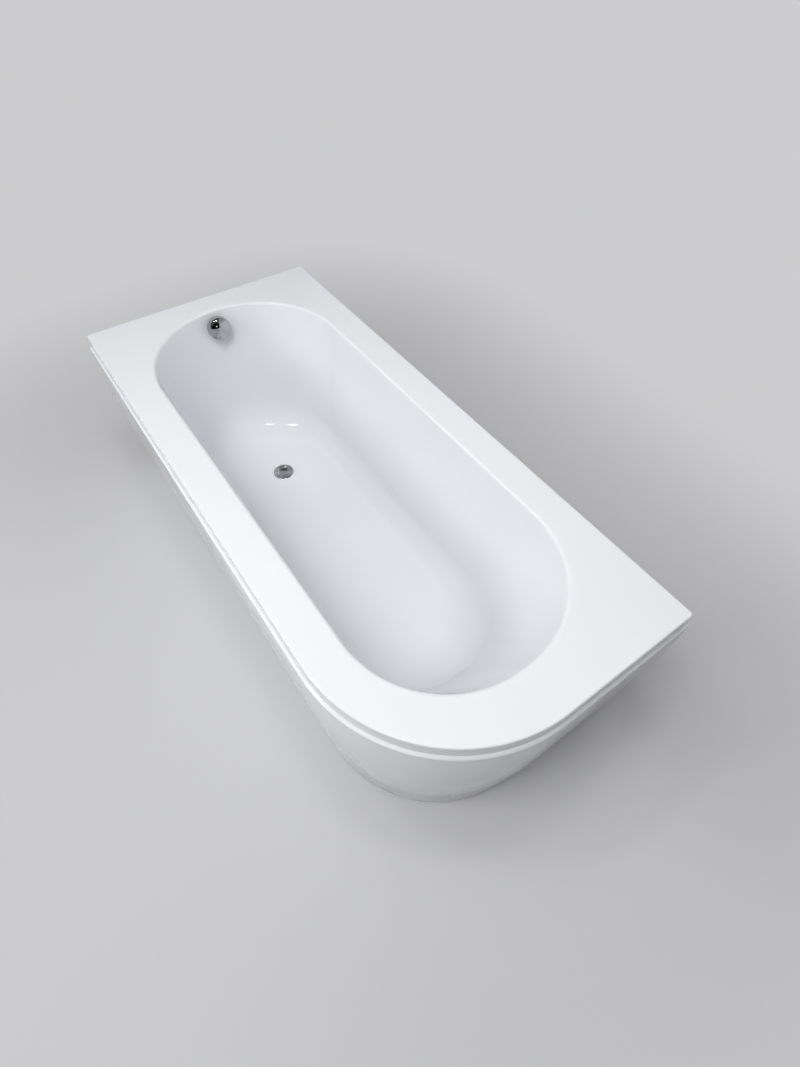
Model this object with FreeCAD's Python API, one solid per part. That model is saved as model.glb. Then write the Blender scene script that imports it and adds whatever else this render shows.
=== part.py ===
"""Alcove bath, 1700 x 750 x 600 mm, with one large rounded corner and a wrap-round apron.

The bath stands with its short drain end (-X) and its long side (+Y) against walls. An acrylic
shell hangs its basin from a flat rim; a board under the basin floor carries two steel rails with
screw feet. A turn knob on the overflow lifts the waste plug through a cable and a rocker.
Sizes are in millimetres, +Z is up, and the modelling frame has its origin on the floor under the
middle of the rim. The finished pieces are shifted so that the whole bath stands centred on the origin.
"""
import FreeCAD, Part
import math
import os

os.makedirs("parts", exist_ok=True)
Vector = FreeCAD.Vector

# Rim and shell
RIM_LENGTH = 1700.0
RIM_WIDTH = 750.0
RIM_BAND = 40.0
RIM_EDGE_ROUND = 6.0
FREE_CORNER_RADIUS = 375.0
WALL_CORNER_RADIUS = 9.0
SHELL_WALL = 5.0

# Basin
BASIN_FLOOR_HEIGHT = 150.0
BASIN_DEPTH = 450.0
SIDE_MARGIN = 95.0
FREE_CORNER_FILL = 24.0
DRAIN_END_MARGIN = 88.0
BACK_END_MARGIN = 118.0
LIP_ROUND = 14.0
LIP_BREAK = 18.0
LIP_RUN_OUT = 1.0
SIDE_SLOPE = 6.5
SIDE_SWEEP = 65.0
DRAIN_SLOPE = 10.0
DRAIN_SWEEP = 120.0
BACK_SLOPE = 25.0
BACK_SWEEP = 180.0

# Apron
APRON_PROUD = 8.0
APRON_WALL = 4.0
APRON_SHADOW_GAP = 1.5
APRON_SHOULDER_ROUND = 8.0
APRON_UPRIGHT = 180.0
APRON_TAPER = 44.0
APRON_BLEND = 100.0
APRON_GROUND_GAP = 3.0
APRON_RETURN = 20.0
APRON_TONGUE_RISE = 26.0
APRON_TONGUE_SETBACK = 8.0

# Battens, board and rails
BATTEN_WIDTH = 45.0
BATTEN_SETBACK = 25.0
END_BATTEN_WIDTH = 34.0
END_BATTEN_SETBACK = 10.0
BATTEN_END_GAP = 10.0
BOARD_THICKNESS = 15.0
BOARD_MARGIN = 8.0
RAIL_WIDTH = 40.0
RAIL_HEIGHT = 25.0
RAIL_STEEL = 2.5
RAIL_OVERHANG = 35.0
DRAIN_RAIL_MARGIN = 37.0
BACK_RAIL_MARGIN = 77.0

# Levelling feet
FOOT_OUTSET = 37.0
STUD_RADIUS = 6.0
STUD_TOP_SPARE = 35.0
PAD_RADIUS = 30.0
PAD_HEIGHT = 16.0
NUT_WIDTH = 19.0
NUT_HEIGHT = 10.0

# Fixings
CLIP_LENGTH = 40.0
CLIP_WALL = 2.0
CLIP_GRIP = 14.0
CLIP_PLAY = 0.3
CLIP_END_MARGIN = 110.0
SCREW_RADIUS = 2.0
SCREW_HEAD_RADIUS = 4.0
SCREW_HEAD_HEIGHT = 2.4
SCREW_BITE = 12.0
BRACKET_STEEL = 3.0
BRACKET_WIDTH = 70.0
BRACKET_DROP = 60.0
BRACKET_HOLE_RADIUS = 3.0
BRACKET_HOLE_SPACING = 40.0
FLOOR_CLIP_WIDTH = 40.0
FLOOR_CLIP_REACH = 35.0
FLOOR_CLIP_STEEL = 2.5
FLOOR_CLIP_END_MARGIN = 150.0

# Waste and trap
WASTE_FLOOR_MARGIN = 172.0
WASTE_HOLE_RADIUS = 27.0
WASTE_HOLE_PLAY = 1.0
FLANGE_OVERHANG = 8.0
FLANGE_THICKNESS = 2.4
FLANGE_WALL = 1.7
SEAT_WIDTH = 4.3
THROAT_LENGTH = 38.0
SPIDER_HEIGHT = 7.0
PLUG_PLAY = 0.5
PLUG_THICKNESS = 4.3
PLUG_BOSS = 5.6
PLUG_RING_RADIUS = 1.6
STEM_RADIUS = 4.0
RUNNING_CLEARANCE = 0.05
SEAL_TOP = 1.0
SEAL_UNDER = 3.0
BODY_WALL = 4.0
BODY_FLANGE = 5.0
TRAP_PIPE_RADIUS = 20.0
TRAP_PIPE_WALL = 2.0
TRAP_BEND_RADIUS = 34.0
TRAP_GROUND_GAP = 6.0
TRAP_LEG = 7.0
TRAP_WALL_MARGIN = 43.0
UNION_THREAD = 4.0
UNION_NUT_WALL = 5.0
UNION_NUT_HEIGHT = 12.0
UNION_LIP = 3.0
ROCKER_ARM = 14.0
ROCKER_THICKNESS = 5.0
ROCKER_TAIL = 8.0
ROCKER_PIN_RADIUS = 2.0

# Overflow and knob
OVERFLOW_DROP = 52.0
OVERFLOW_HOLE_RADIUS = 28.0
OVERFLOW_COLLAR_PLAY = 2.0
OVERFLOW_LAND = 8.0
OVERFLOW_SEAL = 3.0
OVERFLOW_GASKET = 3.2
OVERFLOW_PLATE = 3.0
OVERFLOW_DEPTH = 32.0
OVERFLOW_WALL = 3.0
OVERFLOW_PIPE_RADIUS = 12.5
OVERFLOW_PIPE_WALL = 1.5
OVERFLOW_PIPE_BEND = 60.0
SOCKET_WALL = 4.5
SOCKET_DEPTH = 20.0
KNOB_RADIUS = 37.0
KNOB_PROJECTION = 42.0
KNOB_WALL_GAP = 9.0
KNOB_WALL = 3.0
KNOB_EDGE_ROUND = 11.0
KNOB_DOME_RADIUS = 72.0
SPINDLE_RADIUS = 4.0
HUB_WALL = 4.5
CABLE_RADIUS = 2.5
CABLE_OFFSET = 17.0
CABLE_PORT_WALL = 3.0

# Levels and limits that follow from the sizes above
RIM_TOP = BASIN_FLOOR_HEIGHT + BASIN_DEPTH
DECK_UNDER = RIM_TOP - SHELL_WALL
BAND_FOOT = RIM_TOP - RIM_BAND
SHELL_UNDER = BASIN_FLOOR_HEIGHT - SHELL_WALL
BOARD_UNDER = SHELL_UNDER - BOARD_THICKNESS
RAIL_UNDER = BOARD_UNDER - RAIL_HEIGHT
HALF_LENGTH = RIM_LENGTH / 2
HALF_WIDTH = RIM_WIDTH / 2
BASIN_HALF = HALF_WIDTH - SIDE_MARGIN
CORNER_X = HALF_LENGTH - FREE_CORNER_RADIUS
CORNER_Y = FREE_CORNER_RADIUS - HALF_WIDTH
DRAIN_TOP_X = DRAIN_END_MARGIN - HALF_LENGTH
BACK_TOP_X = HALF_LENGTH - BACK_END_MARGIN
UP = Vector(0, 0, 1)
STAND_CENTRED = Vector(-APRON_PROUD / 2, APRON_PROUD / 2, 0)


def save(name, shape):
    """Write one piece, shifted so that the whole bath stands centred on the origin."""
    shape.translated(STAND_CENTRED).exportStep("parts/" + name + ".step")


def straight_edge(start, end):
    """A line between two points, or nothing where they meet."""
    return [Part.makeLine(start, end)] if (end - start).Length > 1e-6 else []


def outline_face(steps, place):
    """Closed face through points; a step that is a pair of points is an arc through the first."""
    start = place(*steps[0])
    here = start
    edges = []
    for step in steps[1:]:
        if isinstance(step[0], tuple):
            middle, end = (place(*point) for point in step)
            edges.append(Part.Arc(here, middle, end).toShape())
        else:
            end = place(*step)
            edges += straight_edge(here, end)
        here = end
    return Part.Face(Part.Wire(edges + straight_edge(here, start)))


def turned(steps):
    """Solid of revolution about the local Z axis from (radius, height) steps."""
    face = outline_face(steps, lambda radius, height: Vector(radius, 0, height))
    return face.revolve(Vector(0, 0, 0), UP, 360)


def tube(outer, inner, low, high):
    """Plain ring about the local Z axis."""
    return turned([(inner, low), (outer, low), (outer, high), (inner, high)])


def cylinder(radius, start, end):
    """Solid rod between two points."""
    return Part.makeCylinder(radius, (end - start).Length, start, end - start)


def box(low, high):
    """Box between two corners."""
    size = high - low
    return Part.makeBox(size.x, size.y, size.z, low)


def joined(shapes):
    """One solid from shapes that overlap or touch."""
    return shapes[0].fuse(shapes[1:]).removeSplitter()


def rounded_rectangle(x0, y0, x1, y1, radii, z):
    """Face with four corner radii, taken round from the low corner towards +X."""
    corners = [(x0, y0), (x1, y0), (x1, y1), (x0, y1)]
    ways = [(1, 0), (0, 1), (-1, 0), (0, -1)]
    near = 1 - math.sqrt(0.5)
    steps = []
    for index, ((x, y), radius) in enumerate(zip(corners, radii)):
        back = ways[index - 1]
        ahead = ways[index]
        entry = (x - back[0] * radius, y - back[1] * radius)
        middle = (x + (ahead[0] - back[0]) * radius * near, y + (ahead[1] - back[1]) * radius * near)
        leave = (x + ahead[0] * radius, y + ahead[1] * radius)
        steps += [entry, (middle, leave)]
    return outline_face(steps, lambda px, py: Vector(px, py, z))


def rim_face(inward, z):
    """The rim's plan, drawn in by a distance: three square corners and the large free one."""
    square = max(WALL_CORNER_RADIUS - inward, 1.0)
    radii = (square, FREE_CORNER_RADIUS - inward, square, square)
    x_reach = HALF_LENGTH - inward
    y_reach = HALF_WIDTH - inward
    return rounded_rectangle(-x_reach, -y_reach, x_reach, y_reach, radii, z)


def wall_inset(z, slope_degrees, sweep, wall):
    """How far a basin wall has come in at a height: a sloping line, then an arc into the floor."""
    slope = math.radians(slope_degrees)
    rise = math.sin(slope)
    run = math.cos(slope)
    arc_z = BASIN_FLOOR_HEIGHT + sweep
    arc_inset = (RIM_TOP - arc_z + sweep * rise) * math.tan(slope) + sweep * run
    radius = sweep + wall
    if z < arc_z - radius * rise:
        return arc_inset - math.sqrt(max(radius ** 2 - (arc_z - z) ** 2, 0))
    return (RIM_TOP - z) * math.tan(slope) - wall / run


def lip_flare(z):
    """How far the mouth opens out over its rounded lip, which leaves the rim at a slight angle."""
    turn = math.radians(90 - LIP_BREAK)
    above = max(z - (RIM_TOP - LIP_ROUND), 0)
    on_arc = min(above, LIP_ROUND * math.sin(turn))
    return LIP_ROUND - math.sqrt(LIP_ROUND ** 2 - on_arc ** 2) + (above - on_arc) * math.tan(turn)


def basin_plan(z, wall):
    """The basin's length limits and half width at a height."""
    x0 = DRAIN_TOP_X + wall_inset(z, DRAIN_SLOPE, DRAIN_SWEEP, wall)
    x1 = BACK_TOP_X - wall_inset(z, BACK_SLOPE, BACK_SWEEP, wall)
    half = BASIN_HALF - wall_inset(z, SIDE_SLOPE, SIDE_SWEEP, wall)
    return x0, x1, half


def stadium_face(x0, x1, half, z):
    """Straight sides with half-round ends."""
    return rounded_rectangle(x0, -half, x1, half, (half,) * 4, z)


def spread(low, high, count):
    """Evenly spaced values from low to high."""
    return [low + (high - low) * index / (count - 1) for index in range(count)]


def swept_heights(wall):
    """Heights of the basin's sections, close together where its walls sweep into the floor."""
    radius = BACK_SWEEP + wall
    floor = BASIN_FLOOR_HEIGHT - wall
    curved = [floor + radius * (1 - math.cos(math.radians(angle))) for angle in range(0, 70, 8)]
    return curved + spread(curved[-1], RIM_TOP - LIP_ROUND, 5)[1:]


def basin_loft(heights, wall, flare):
    """Solid through round-ended sections of the basin, a little fuller towards the free corner."""
    sections = []
    for z in heights:
        x0, x1, half = basin_plan(z, wall)
        out = flare(z)
        radius = half + out
        radii = (radius, radius - FREE_CORNER_FILL, radius, radius)
        plan = rounded_rectangle(x0 - out, -radius, x1 + out, radius, radii, z)
        sections.append(plan.OuterWire)
    return Part.makeLoft(sections, True, False)


def basin_hollow():
    """The space inside the basin, with its rounded lip, run out above the rim."""
    arc = RIM_TOP - LIP_ROUND
    angles = spread(0, math.radians(90 - LIP_BREAK), 6)[1:]
    lip = [arc + LIP_ROUND * math.sin(angle) for angle in angles] + [RIM_TOP + LIP_RUN_OUT]
    return basin_loft(swept_heights(0) + lip, 0, lip_flare)


def basin_body():
    """The basin's outer form, grown by the shell's wall and run up into the rim."""
    top = [RIM_TOP - SHELL_WALL / 2]
    return basin_loft(swept_heights(SHELL_WALL) + top, SHELL_WALL, lambda z: 0)


FLOOR_X0, FLOOR_X1, FLOOR_HALF = basin_plan(BASIN_FLOOR_HEIGHT, 0)
WASTE = Vector(FLOOR_X0 + WASTE_FLOOR_MARGIN, 0, BASIN_FLOOR_HEIGHT)
OVERFLOW_Z = RIM_TOP - OVERFLOW_DROP
OVERFLOW_POINT = Vector(basin_plan(OVERFLOW_Z, 0)[0], 0, OVERFLOW_Z)
# In the overflow's own frame Z leaves the wall into the basin and X runs down the wall.
OVERFLOW_PLACE = FreeCAD.Placement(OVERFLOW_POINT, FreeCAD.Rotation(Vector(0, 1, 0), 90 - DRAIN_SLOPE))


def at_overflow(shape):
    """Move a shape from the overflow's own frame to the bath."""
    moved = shape.copy()
    moved.Placement = OVERFLOW_PLACE.multiply(moved.Placement)
    return moved


def at_waste(shape):
    """Move a shape from the waste's own frame, with the basin floor at zero, to the bath."""
    return shape.translated(WASTE)


def bath_shell():
    """Acrylic shell: flat rim with its turned-down band, and the basin hanging from it."""
    rim = rim_face(0, BAND_FOOT).extrude(UP * RIM_BAND)
    top_edges = [edge for edge in rim.Edges if edge.BoundBox.ZMin > RIM_TOP - 0.01]
    rim = rim.makeFillet(RIM_EDGE_ROUND, top_edges)
    rim = rim.cut(rim_face(SHELL_WALL, BAND_FOOT).extrude(UP * (RIM_BAND - SHELL_WALL)))
    shell = rim.fuse(basin_body()).cut(basin_hollow()).removeSplitter()
    deep = Vector(0, 0, SHELL_WALL * 2)
    shell = shell.cut(cylinder(WASTE_HOLE_RADIUS, WASTE - deep, WASTE + deep))
    hole = cylinder(OVERFLOW_HOLE_RADIUS, deep * -1, deep)
    return shell.cut(at_overflow(hole))


BATTEN_OUT = HALF_WIDTH - BATTEN_SETBACK
BATTEN_IN = BATTEN_OUT - BATTEN_WIDTH
BATTEN_START = SHELL_WALL + BATTEN_END_GAP - HALF_LENGTH
APRON_TOP = BAND_FOOT - APRON_SHADOW_GAP
TONGUE_TOP = BAND_FOOT + APRON_TONGUE_RISE
TONGUE_BACK = APRON_TONGUE_SETBACK + APRON_WALL
APRON_KNEE = APRON_TOP - APRON_UPRIGHT
APRON_LEAN = math.atan(APRON_TAPER / (APRON_KNEE - APRON_GROUND_GAP))
APRON_FOOT = APRON_PROUD - APRON_TAPER


def apron_profile(skin, reach):
    """Steps (outwards from the rim edge, height) round the apron's side view, drawn in by a skin."""
    proud = APRON_PROUD - skin
    top = APRON_TOP - skin
    bottom = APRON_GROUND_GAP + skin
    shoulder = APRON_SHOULDER_ROUND - skin
    slack = shoulder * (1 - math.sqrt(0.5))
    bend = APRON_BLEND / math.tan(APRON_LEAN / 2)
    bend_z = APRON_KNEE + APRON_BLEND

    def on_bend(angle):
        radius = bend - skin
        return (APRON_PROUD - bend + radius * math.cos(angle), bend_z - radius * math.sin(angle))

    end = on_bend(APRON_LEAN)
    foot = end[0] - (end[1] - bottom) * math.tan(APRON_LEAN)
    return [
        (-TONGUE_BACK - reach, top),
        (proud - shoulder, top),
        ((proud - slack, top - slack), (proud, top - shoulder)),
        (proud, bend_z),
        (on_bend(APRON_LEAN / 2), end),
        (foot, bottom),
        (APRON_FOOT - APRON_RETURN - reach, bottom),
    ]


def front_place(x):
    """Maps (outwards, height) to a section across the front run."""
    return lambda out, z: Vector(x, -HALF_WIDTH - out, z)


def end_place(y):
    """Maps (outwards, height) to a section across the run at the back end."""
    return lambda out, z: Vector(HALF_LENGTH + out, y, z)


def apron_section(place):
    """The apron's sheet in section: upright tongue, shoulder, tapered face and foot return."""
    tongue = [(-TONGUE_BACK, APRON_TOP - APRON_WALL), (-TONGUE_BACK, TONGUE_TOP),
              (-APRON_TONGUE_SETBACK, TONGUE_TOP), (-APRON_TONGUE_SETBACK, APRON_TOP)]
    sheet = outline_face(tongue + apron_profile(0, 0)[1:], place)
    hollow = outline_face(apron_profile(APRON_WALL, APRON_WALL), place)
    return sheet.cut(hollow).Faces[0]


def apron_panel():
    """One moulded panel along the front, round the free corner and along the back end."""
    corner = Vector(CORNER_X, CORNER_Y, 0)
    front = apron_section(front_place(-HALF_LENGTH)).extrude(Vector(CORNER_X + HALF_LENGTH, 0, 0))
    bend = apron_section(front_place(CORNER_X)).revolve(corner, UP, 90)
    end = apron_section(end_place(CORNER_Y)).extrude(Vector(0, HALF_WIDTH - CORNER_Y, 0))
    panel = joined([front, bend, end])
    tongue_gap = SHELL_WALL + BATTEN_END_GAP
    panel = panel.cut(box(Vector(-HALF_LENGTH, -HALF_WIDTH, APRON_TOP),
                          Vector(tongue_gap - HALF_LENGTH, -BATTEN_IN, RIM_TOP)))
    panel = panel.cut(box(Vector(CORNER_X, HALF_WIDTH - tongue_gap, APRON_TOP),
                          Vector(HALF_LENGTH, HALF_WIDTH, RIM_TOP)))
    for fixing in floor_clip_places():
        panel = panel.cut(floor_clip_screw(fixing))
    return panel


def run_places(front_count, end_count, end_margin):
    """Fixing stations as (place, along) pairs on the front run and on the back-end run."""
    front = spread(end_margin - HALF_LENGTH, CORNER_X - CLIP_LENGTH, front_count)
    end = spread(CORNER_Y + CLIP_LENGTH, HALF_WIDTH - end_margin, end_count)
    stations = [(front_place, x, Vector(1, 0, 0)) for x in front]
    return stations + [(end_place, y, Vector(0, 1, 0)) for y in end]


def clip_places():
    """Where clips hold the apron's tongue to the battens."""
    return run_places(4, 2, CLIP_END_MARGIN)


def floor_clip_places():
    """Where brackets on the ground hold the apron's foot."""
    return run_places(3, 2, FLOOR_CLIP_END_MARGIN)


def extruded_at(fixing, steps, width):
    """A section extruded along the run, centred on a fixing station."""
    place, along, way = fixing
    return outline_face(steps, place(along - width / 2)).extrude(way * width)


def apron_clip(fixing):
    """Plastic hook over the apron's tongue, backed by a block on the batten."""
    low = TONGUE_TOP - CLIP_GRIP
    high = TONGUE_TOP + CLIP_PLAY
    outer = -APRON_TONGUE_SETBACK + CLIP_PLAY
    inner = -TONGUE_BACK - CLIP_PLAY
    steps = [(-BATTEN_SETBACK, low), (inner, low), (inner, high), (outer, high), (outer, low),
             (outer + CLIP_WALL, low), (outer + CLIP_WALL, high + CLIP_WALL),
             (-BATTEN_SETBACK, high + CLIP_WALL)]
    return extruded_at(fixing, steps, CLIP_LENGTH).cut(clip_screw(fixing))


def screw(head, way, length):
    """Pan-head screw: the head's seat point, the way it drives and its length below the head."""
    cap = cylinder(SCREW_HEAD_RADIUS, head - way * SCREW_HEAD_HEIGHT, head)
    return joined([cap, cylinder(SCREW_RADIUS, head, head + way * length)])


def clip_screw(fixing):
    """Screw through a clip's block into the batten, its head sunk in the block."""
    place, along, way = fixing
    at = place(along)
    z = TONGUE_TOP - CLIP_GRIP / 2
    seat = TONGUE_BACK + 2 * CLIP_PLAY + SCREW_HEAD_HEIGHT
    head = at(-seat, z)
    drive = (at(-seat - 1, z) - head).normalize()
    return screw(head, drive, BATTEN_SETBACK - seat + SCREW_BITE)


def floor_clip(fixing):
    """Steel bracket on the ground, stepped up over the apron's foot return."""
    tongue_z = APRON_GROUND_GAP + APRON_WALL
    riser = APRON_FOOT - APRON_RETURN - FLOOR_CLIP_STEEL
    plate = riser - FLOOR_CLIP_STEEL - FLOOR_CLIP_REACH
    tip = riser + APRON_RETURN - FLOOR_CLIP_STEEL
    steps = [(plate, 0), (riser, 0), (riser, tongue_z), (tip, tongue_z), (tip, tongue_z + FLOOR_CLIP_STEEL),
             (riser - FLOOR_CLIP_STEEL, tongue_z + FLOOR_CLIP_STEEL),
             (riser - FLOOR_CLIP_STEEL, FLOOR_CLIP_STEEL), (plate, FLOOR_CLIP_STEEL)]
    place, along, way = fixing
    hole = place(along)(plate + FLOOR_CLIP_REACH / 2, -1)
    bracket = extruded_at(fixing, steps, FLOOR_CLIP_WIDTH).cut(floor_clip_screw(fixing))
    return bracket.cut(cylinder(BRACKET_HOLE_RADIUS, hole, hole + UP * 2 * FLOOR_CLIP_STEEL))


def floor_clip_screw(fixing):
    """Screw down through the bracket's tongue and the apron's foot return."""
    place, along, way = fixing
    top = APRON_GROUND_GAP + APRON_WALL + FLOOR_CLIP_STEEL
    middle = APRON_FOOT - APRON_RETURN / 2
    return screw(place(along)(middle, top), UP * -1, APRON_WALL + FLOOR_CLIP_STEEL)


def group(shapes):
    """Separate solids of one node."""
    return Part.Compound(shapes)


def batten(x0, x1, y0, y1):
    """Softwood batten bonded under the rim."""
    return box(Vector(x0, y0, BAND_FOOT), Vector(x1, y1, DECK_UNDER))


def bracket_places():
    """Where the wall brackets sit along the wall batten."""
    return spread(-HALF_LENGTH / 2, HALF_LENGTH / 2, 2)


def wall_bracket(x):
    """Steel angle: one leg under the wall batten, the other flat on the wall with two holes."""
    steps = [(BATTEN_IN + BATTEN_END_GAP, BAND_FOOT), (HALF_WIDTH, BAND_FOOT),
             (HALF_WIDTH, BAND_FOOT - BRACKET_DROP), (HALF_WIDTH - BRACKET_STEEL, BAND_FOOT - BRACKET_DROP),
             (HALF_WIDTH - BRACKET_STEEL, BAND_FOOT - BRACKET_STEEL),
             (BATTEN_IN + BATTEN_END_GAP, BAND_FOOT - BRACKET_STEEL)]
    start = x - BRACKET_WIDTH / 2
    angle = outline_face(steps, lambda y, z: Vector(start, y, z)).extrude(Vector(BRACKET_WIDTH, 0, 0))
    for side in (-0.5, 0.5):
        hole = Vector(x + side * BRACKET_HOLE_SPACING, HALF_WIDTH + 1, BAND_FOOT - BRACKET_DROP / 2)
        angle = angle.cut(cylinder(BRACKET_HOLE_RADIUS, hole, hole - Vector(0, 2 * BRACKET_STEEL, 0)))
    return angle.cut(group(bracket_screws(x)))


def bracket_screws(x):
    """Two screws up through a wall bracket into the batten."""
    y = (BATTEN_IN + BATTEN_OUT) / 2
    heads = [Vector(x + side * BRACKET_HOLE_SPACING, y, BAND_FOOT - BRACKET_STEEL) for side in (-0.5, 0.5)]
    return [screw(head, UP, BRACKET_STEEL + SCREW_BITE) for head in heads]


RAIL_XS = {"drain": FLOOR_X0 + DRAIN_RAIL_MARGIN, "back": FLOOR_X1 - BACK_RAIL_MARGIN}
STUD_TOP = BOARD_UNDER + NUT_HEIGHT + STUD_TOP_SPARE
FOOT_Y = basin_plan(STUD_TOP, SHELL_WALL)[2] + FOOT_OUTSET
FOOT_SIDES = {"front": -1, "wall": 1}
BOARD_HALF = FLOOR_HALF - BOARD_MARGIN


def board_chord(x):
    """Half the board's width at a distance along the bath."""
    low = FLOOR_X0 + BOARD_MARGIN + BOARD_HALF
    high = FLOOR_X1 - BOARD_MARGIN - BOARD_HALF
    beyond = max(low - x, x - high, 0)
    return math.sqrt(BOARD_HALF ** 2 - beyond ** 2)


def rail_screws(x):
    """Four screws up through a rail's web into the board."""
    reach = board_chord(x) - SCREW_BITE
    heads = [Vector(x, y, BOARD_UNDER - RAIL_STEEL) for y in spread(-reach, reach, 4)]
    return [screw(head, UP, RAIL_STEEL + SCREW_BITE) for head in heads]


def base_board():
    """Stiffening board bonded under the basin floor, cut out round the waste."""
    plan = stadium_face(FLOOR_X0 + BOARD_MARGIN, FLOOR_X1 - BOARD_MARGIN, BOARD_HALF, BOARD_UNDER)
    board = plan.extrude(UP * BOARD_THICKNESS)
    foot = Vector(WASTE.x, WASTE.y, 0)
    board = board.cut(cylinder(BODY_FLANGE_RADIUS + BOARD_MARGIN, foot, WASTE))
    for x in RAIL_XS.values():
        board = board.cut(group(rail_screws(x)))
    return board


def cradle_rail(x):
    """Folded steel channel across the bath, open below, drilled for its studs and screws."""
    half = RAIL_WIDTH / 2
    length = 2 * (FOOT_Y + RAIL_OVERHANG)
    fold = 2 * RAIL_STEEL
    near = fold * (1 - math.sqrt(0.5))
    steps = [(-half, RAIL_UNDER), (-half, BOARD_UNDER - fold),
             ((-half + near, BOARD_UNDER - near), (-half + fold, BOARD_UNDER)), (half - fold, BOARD_UNDER),
             ((half - near, BOARD_UNDER - near), (half, BOARD_UNDER - fold)), (half, RAIL_UNDER),
             (half - RAIL_STEEL, RAIL_UNDER), (half - RAIL_STEEL, BOARD_UNDER - RAIL_STEEL),
             (RAIL_STEEL - half, BOARD_UNDER - RAIL_STEEL), (RAIL_STEEL - half, RAIL_UNDER)]
    place = lambda across, z: Vector(x + across, -length / 2, z)
    rail = outline_face(steps, place).extrude(Vector(0, length, 0))
    for side in FOOT_SIDES.values():
        axis = Vector(x, side * FOOT_Y, 0)
        rail = rail.cut(cylinder(STUD_RADIUS + CLIP_PLAY, axis, axis + UP * BASIN_FLOOR_HEIGHT))
    return rail.cut(group(rail_screws(x)))


def hexagon_nut(x, y, z):
    """Hexagon nut standing on a height, bored to run on its stud."""
    corner = NUT_WIDTH / 2 / math.cos(math.pi / 6)
    angles = [math.pi / 3 * turn for turn in range(6)]
    steps = [(corner * math.cos(angle), corner * math.sin(angle)) for angle in angles]
    axis = Vector(x, y, z)
    nut = outline_face(steps, lambda across, along: axis + Vector(across, along, 0)).extrude(UP * NUT_HEIGHT)
    return nut.cut(cylinder(STUD_RADIUS + RUNNING_CLEARANCE, axis, axis + UP * NUT_HEIGHT))


def foot_nuts():
    """A nut above and a nut below the rail's web on every stud."""
    levels = (BOARD_UNDER, BOARD_UNDER - RAIL_STEEL - NUT_HEIGHT)
    sides = [side * FOOT_Y for side in FOOT_SIDES.values()]
    return group([hexagon_nut(x, y, z) for x in RAIL_XS.values() for y in sides for z in levels])


def foot_pad():
    """Moulded pad with a flared base, a neck and a blind socket for the stud."""
    neck = 2 * STUD_RADIUS
    socket = PAD_HEIGHT * 0.4
    steps = [(0, 0), (PAD_RADIUS, 0), (PAD_RADIUS, socket / 2),
             ((PAD_RADIUS * 0.66, socket * 1.05), (neck, PAD_HEIGHT)),
             (STUD_RADIUS, PAD_HEIGHT), (STUD_RADIUS, socket), (0, socket)]
    return turned(steps)


def foot_stud():
    """Threaded rod from the pad's socket up through the rail."""
    low = PAD_HEIGHT * 0.4
    bevel = STUD_RADIUS / 4
    steps = [(0, low), (STUD_RADIUS, low), (STUD_RADIUS, STUD_TOP - bevel), (STUD_RADIUS - bevel, STUD_TOP),
             (0, STUD_TOP)]
    return turned(steps)


# The waste's radii step inwards from the hole in the shell.
THROAT_OUTER = WASTE_HOLE_RADIUS - WASTE_HOLE_PLAY
MOUTH_RADIUS = THROAT_OUTER - FLANGE_WALL
THROAT_RADIUS = MOUTH_RADIUS - SEAT_WIDTH
FLANGE_RADIUS = WASTE_HOLE_RADIUS + FLANGE_OVERHANG
FLANGE_TOP = SEAL_TOP + FLANGE_THICKNESS
PLUG_RADIUS = MOUTH_RADIUS - PLUG_PLAY
PLUG_BOSS_RADIUS = THROAT_RADIUS - 2 * PLUG_PLAY
RING_CENTRE = PLUG_BOSS_RADIUS + PLUG_RING_RADIUS
PLUG_TOP = 0.9
PLUG_UNDER = PLUG_TOP - PLUG_THICKNESS
RING_Z = PLUG_UNDER - PLUG_RING_RADIUS
SEAT_TOP = MOUTH_RADIUS - RING_CENTRE + RING_Z - math.sqrt(2) * (PLUG_RING_RADIUS + CLIP_PLAY)
BODY_TOP = -SHELL_WALL - SEAL_UNDER
BODY_RADIUS = THROAT_OUTER + RUNNING_CLEARANCE + BODY_WALL
BODY_FLANGE_RADIUS = FLANGE_RADIUS + BODY_WALL
CHAMBER_RADIUS = THROAT_OUTER + 1.0
# Heights below are measured up from the ground, through the trap, to the waste body.
TRAP_AXIS_Z = TRAP_GROUND_GAP + TRAP_PIPE_RADIUS + TRAP_BEND_RADIUS
TRAP_INLET_Z = TRAP_AXIS_Z + TRAP_LEG
TRAP_BORE = TRAP_PIPE_RADIUS - TRAP_PIPE_WALL
UNION_RADIUS = TRAP_PIPE_RADIUS + UNION_THREAD
CHAMBER_Z = TRAP_INLET_Z + UNION_NUT_HEIGHT - UNION_LIP
ROCKER_Z = CHAMBER_Z + ROCKER_THICKNESS
STEM_FOOT_Z = ROCKER_Z + ROCKER_THICKNESS / 2 + CLIP_PLAY
SOCKET_RADIUS = OVERFLOW_PIPE_RADIUS + SOCKET_WALL
SOCKET_Z = CHAMBER_Z + OVERFLOW_PIPE_RADIUS


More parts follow.
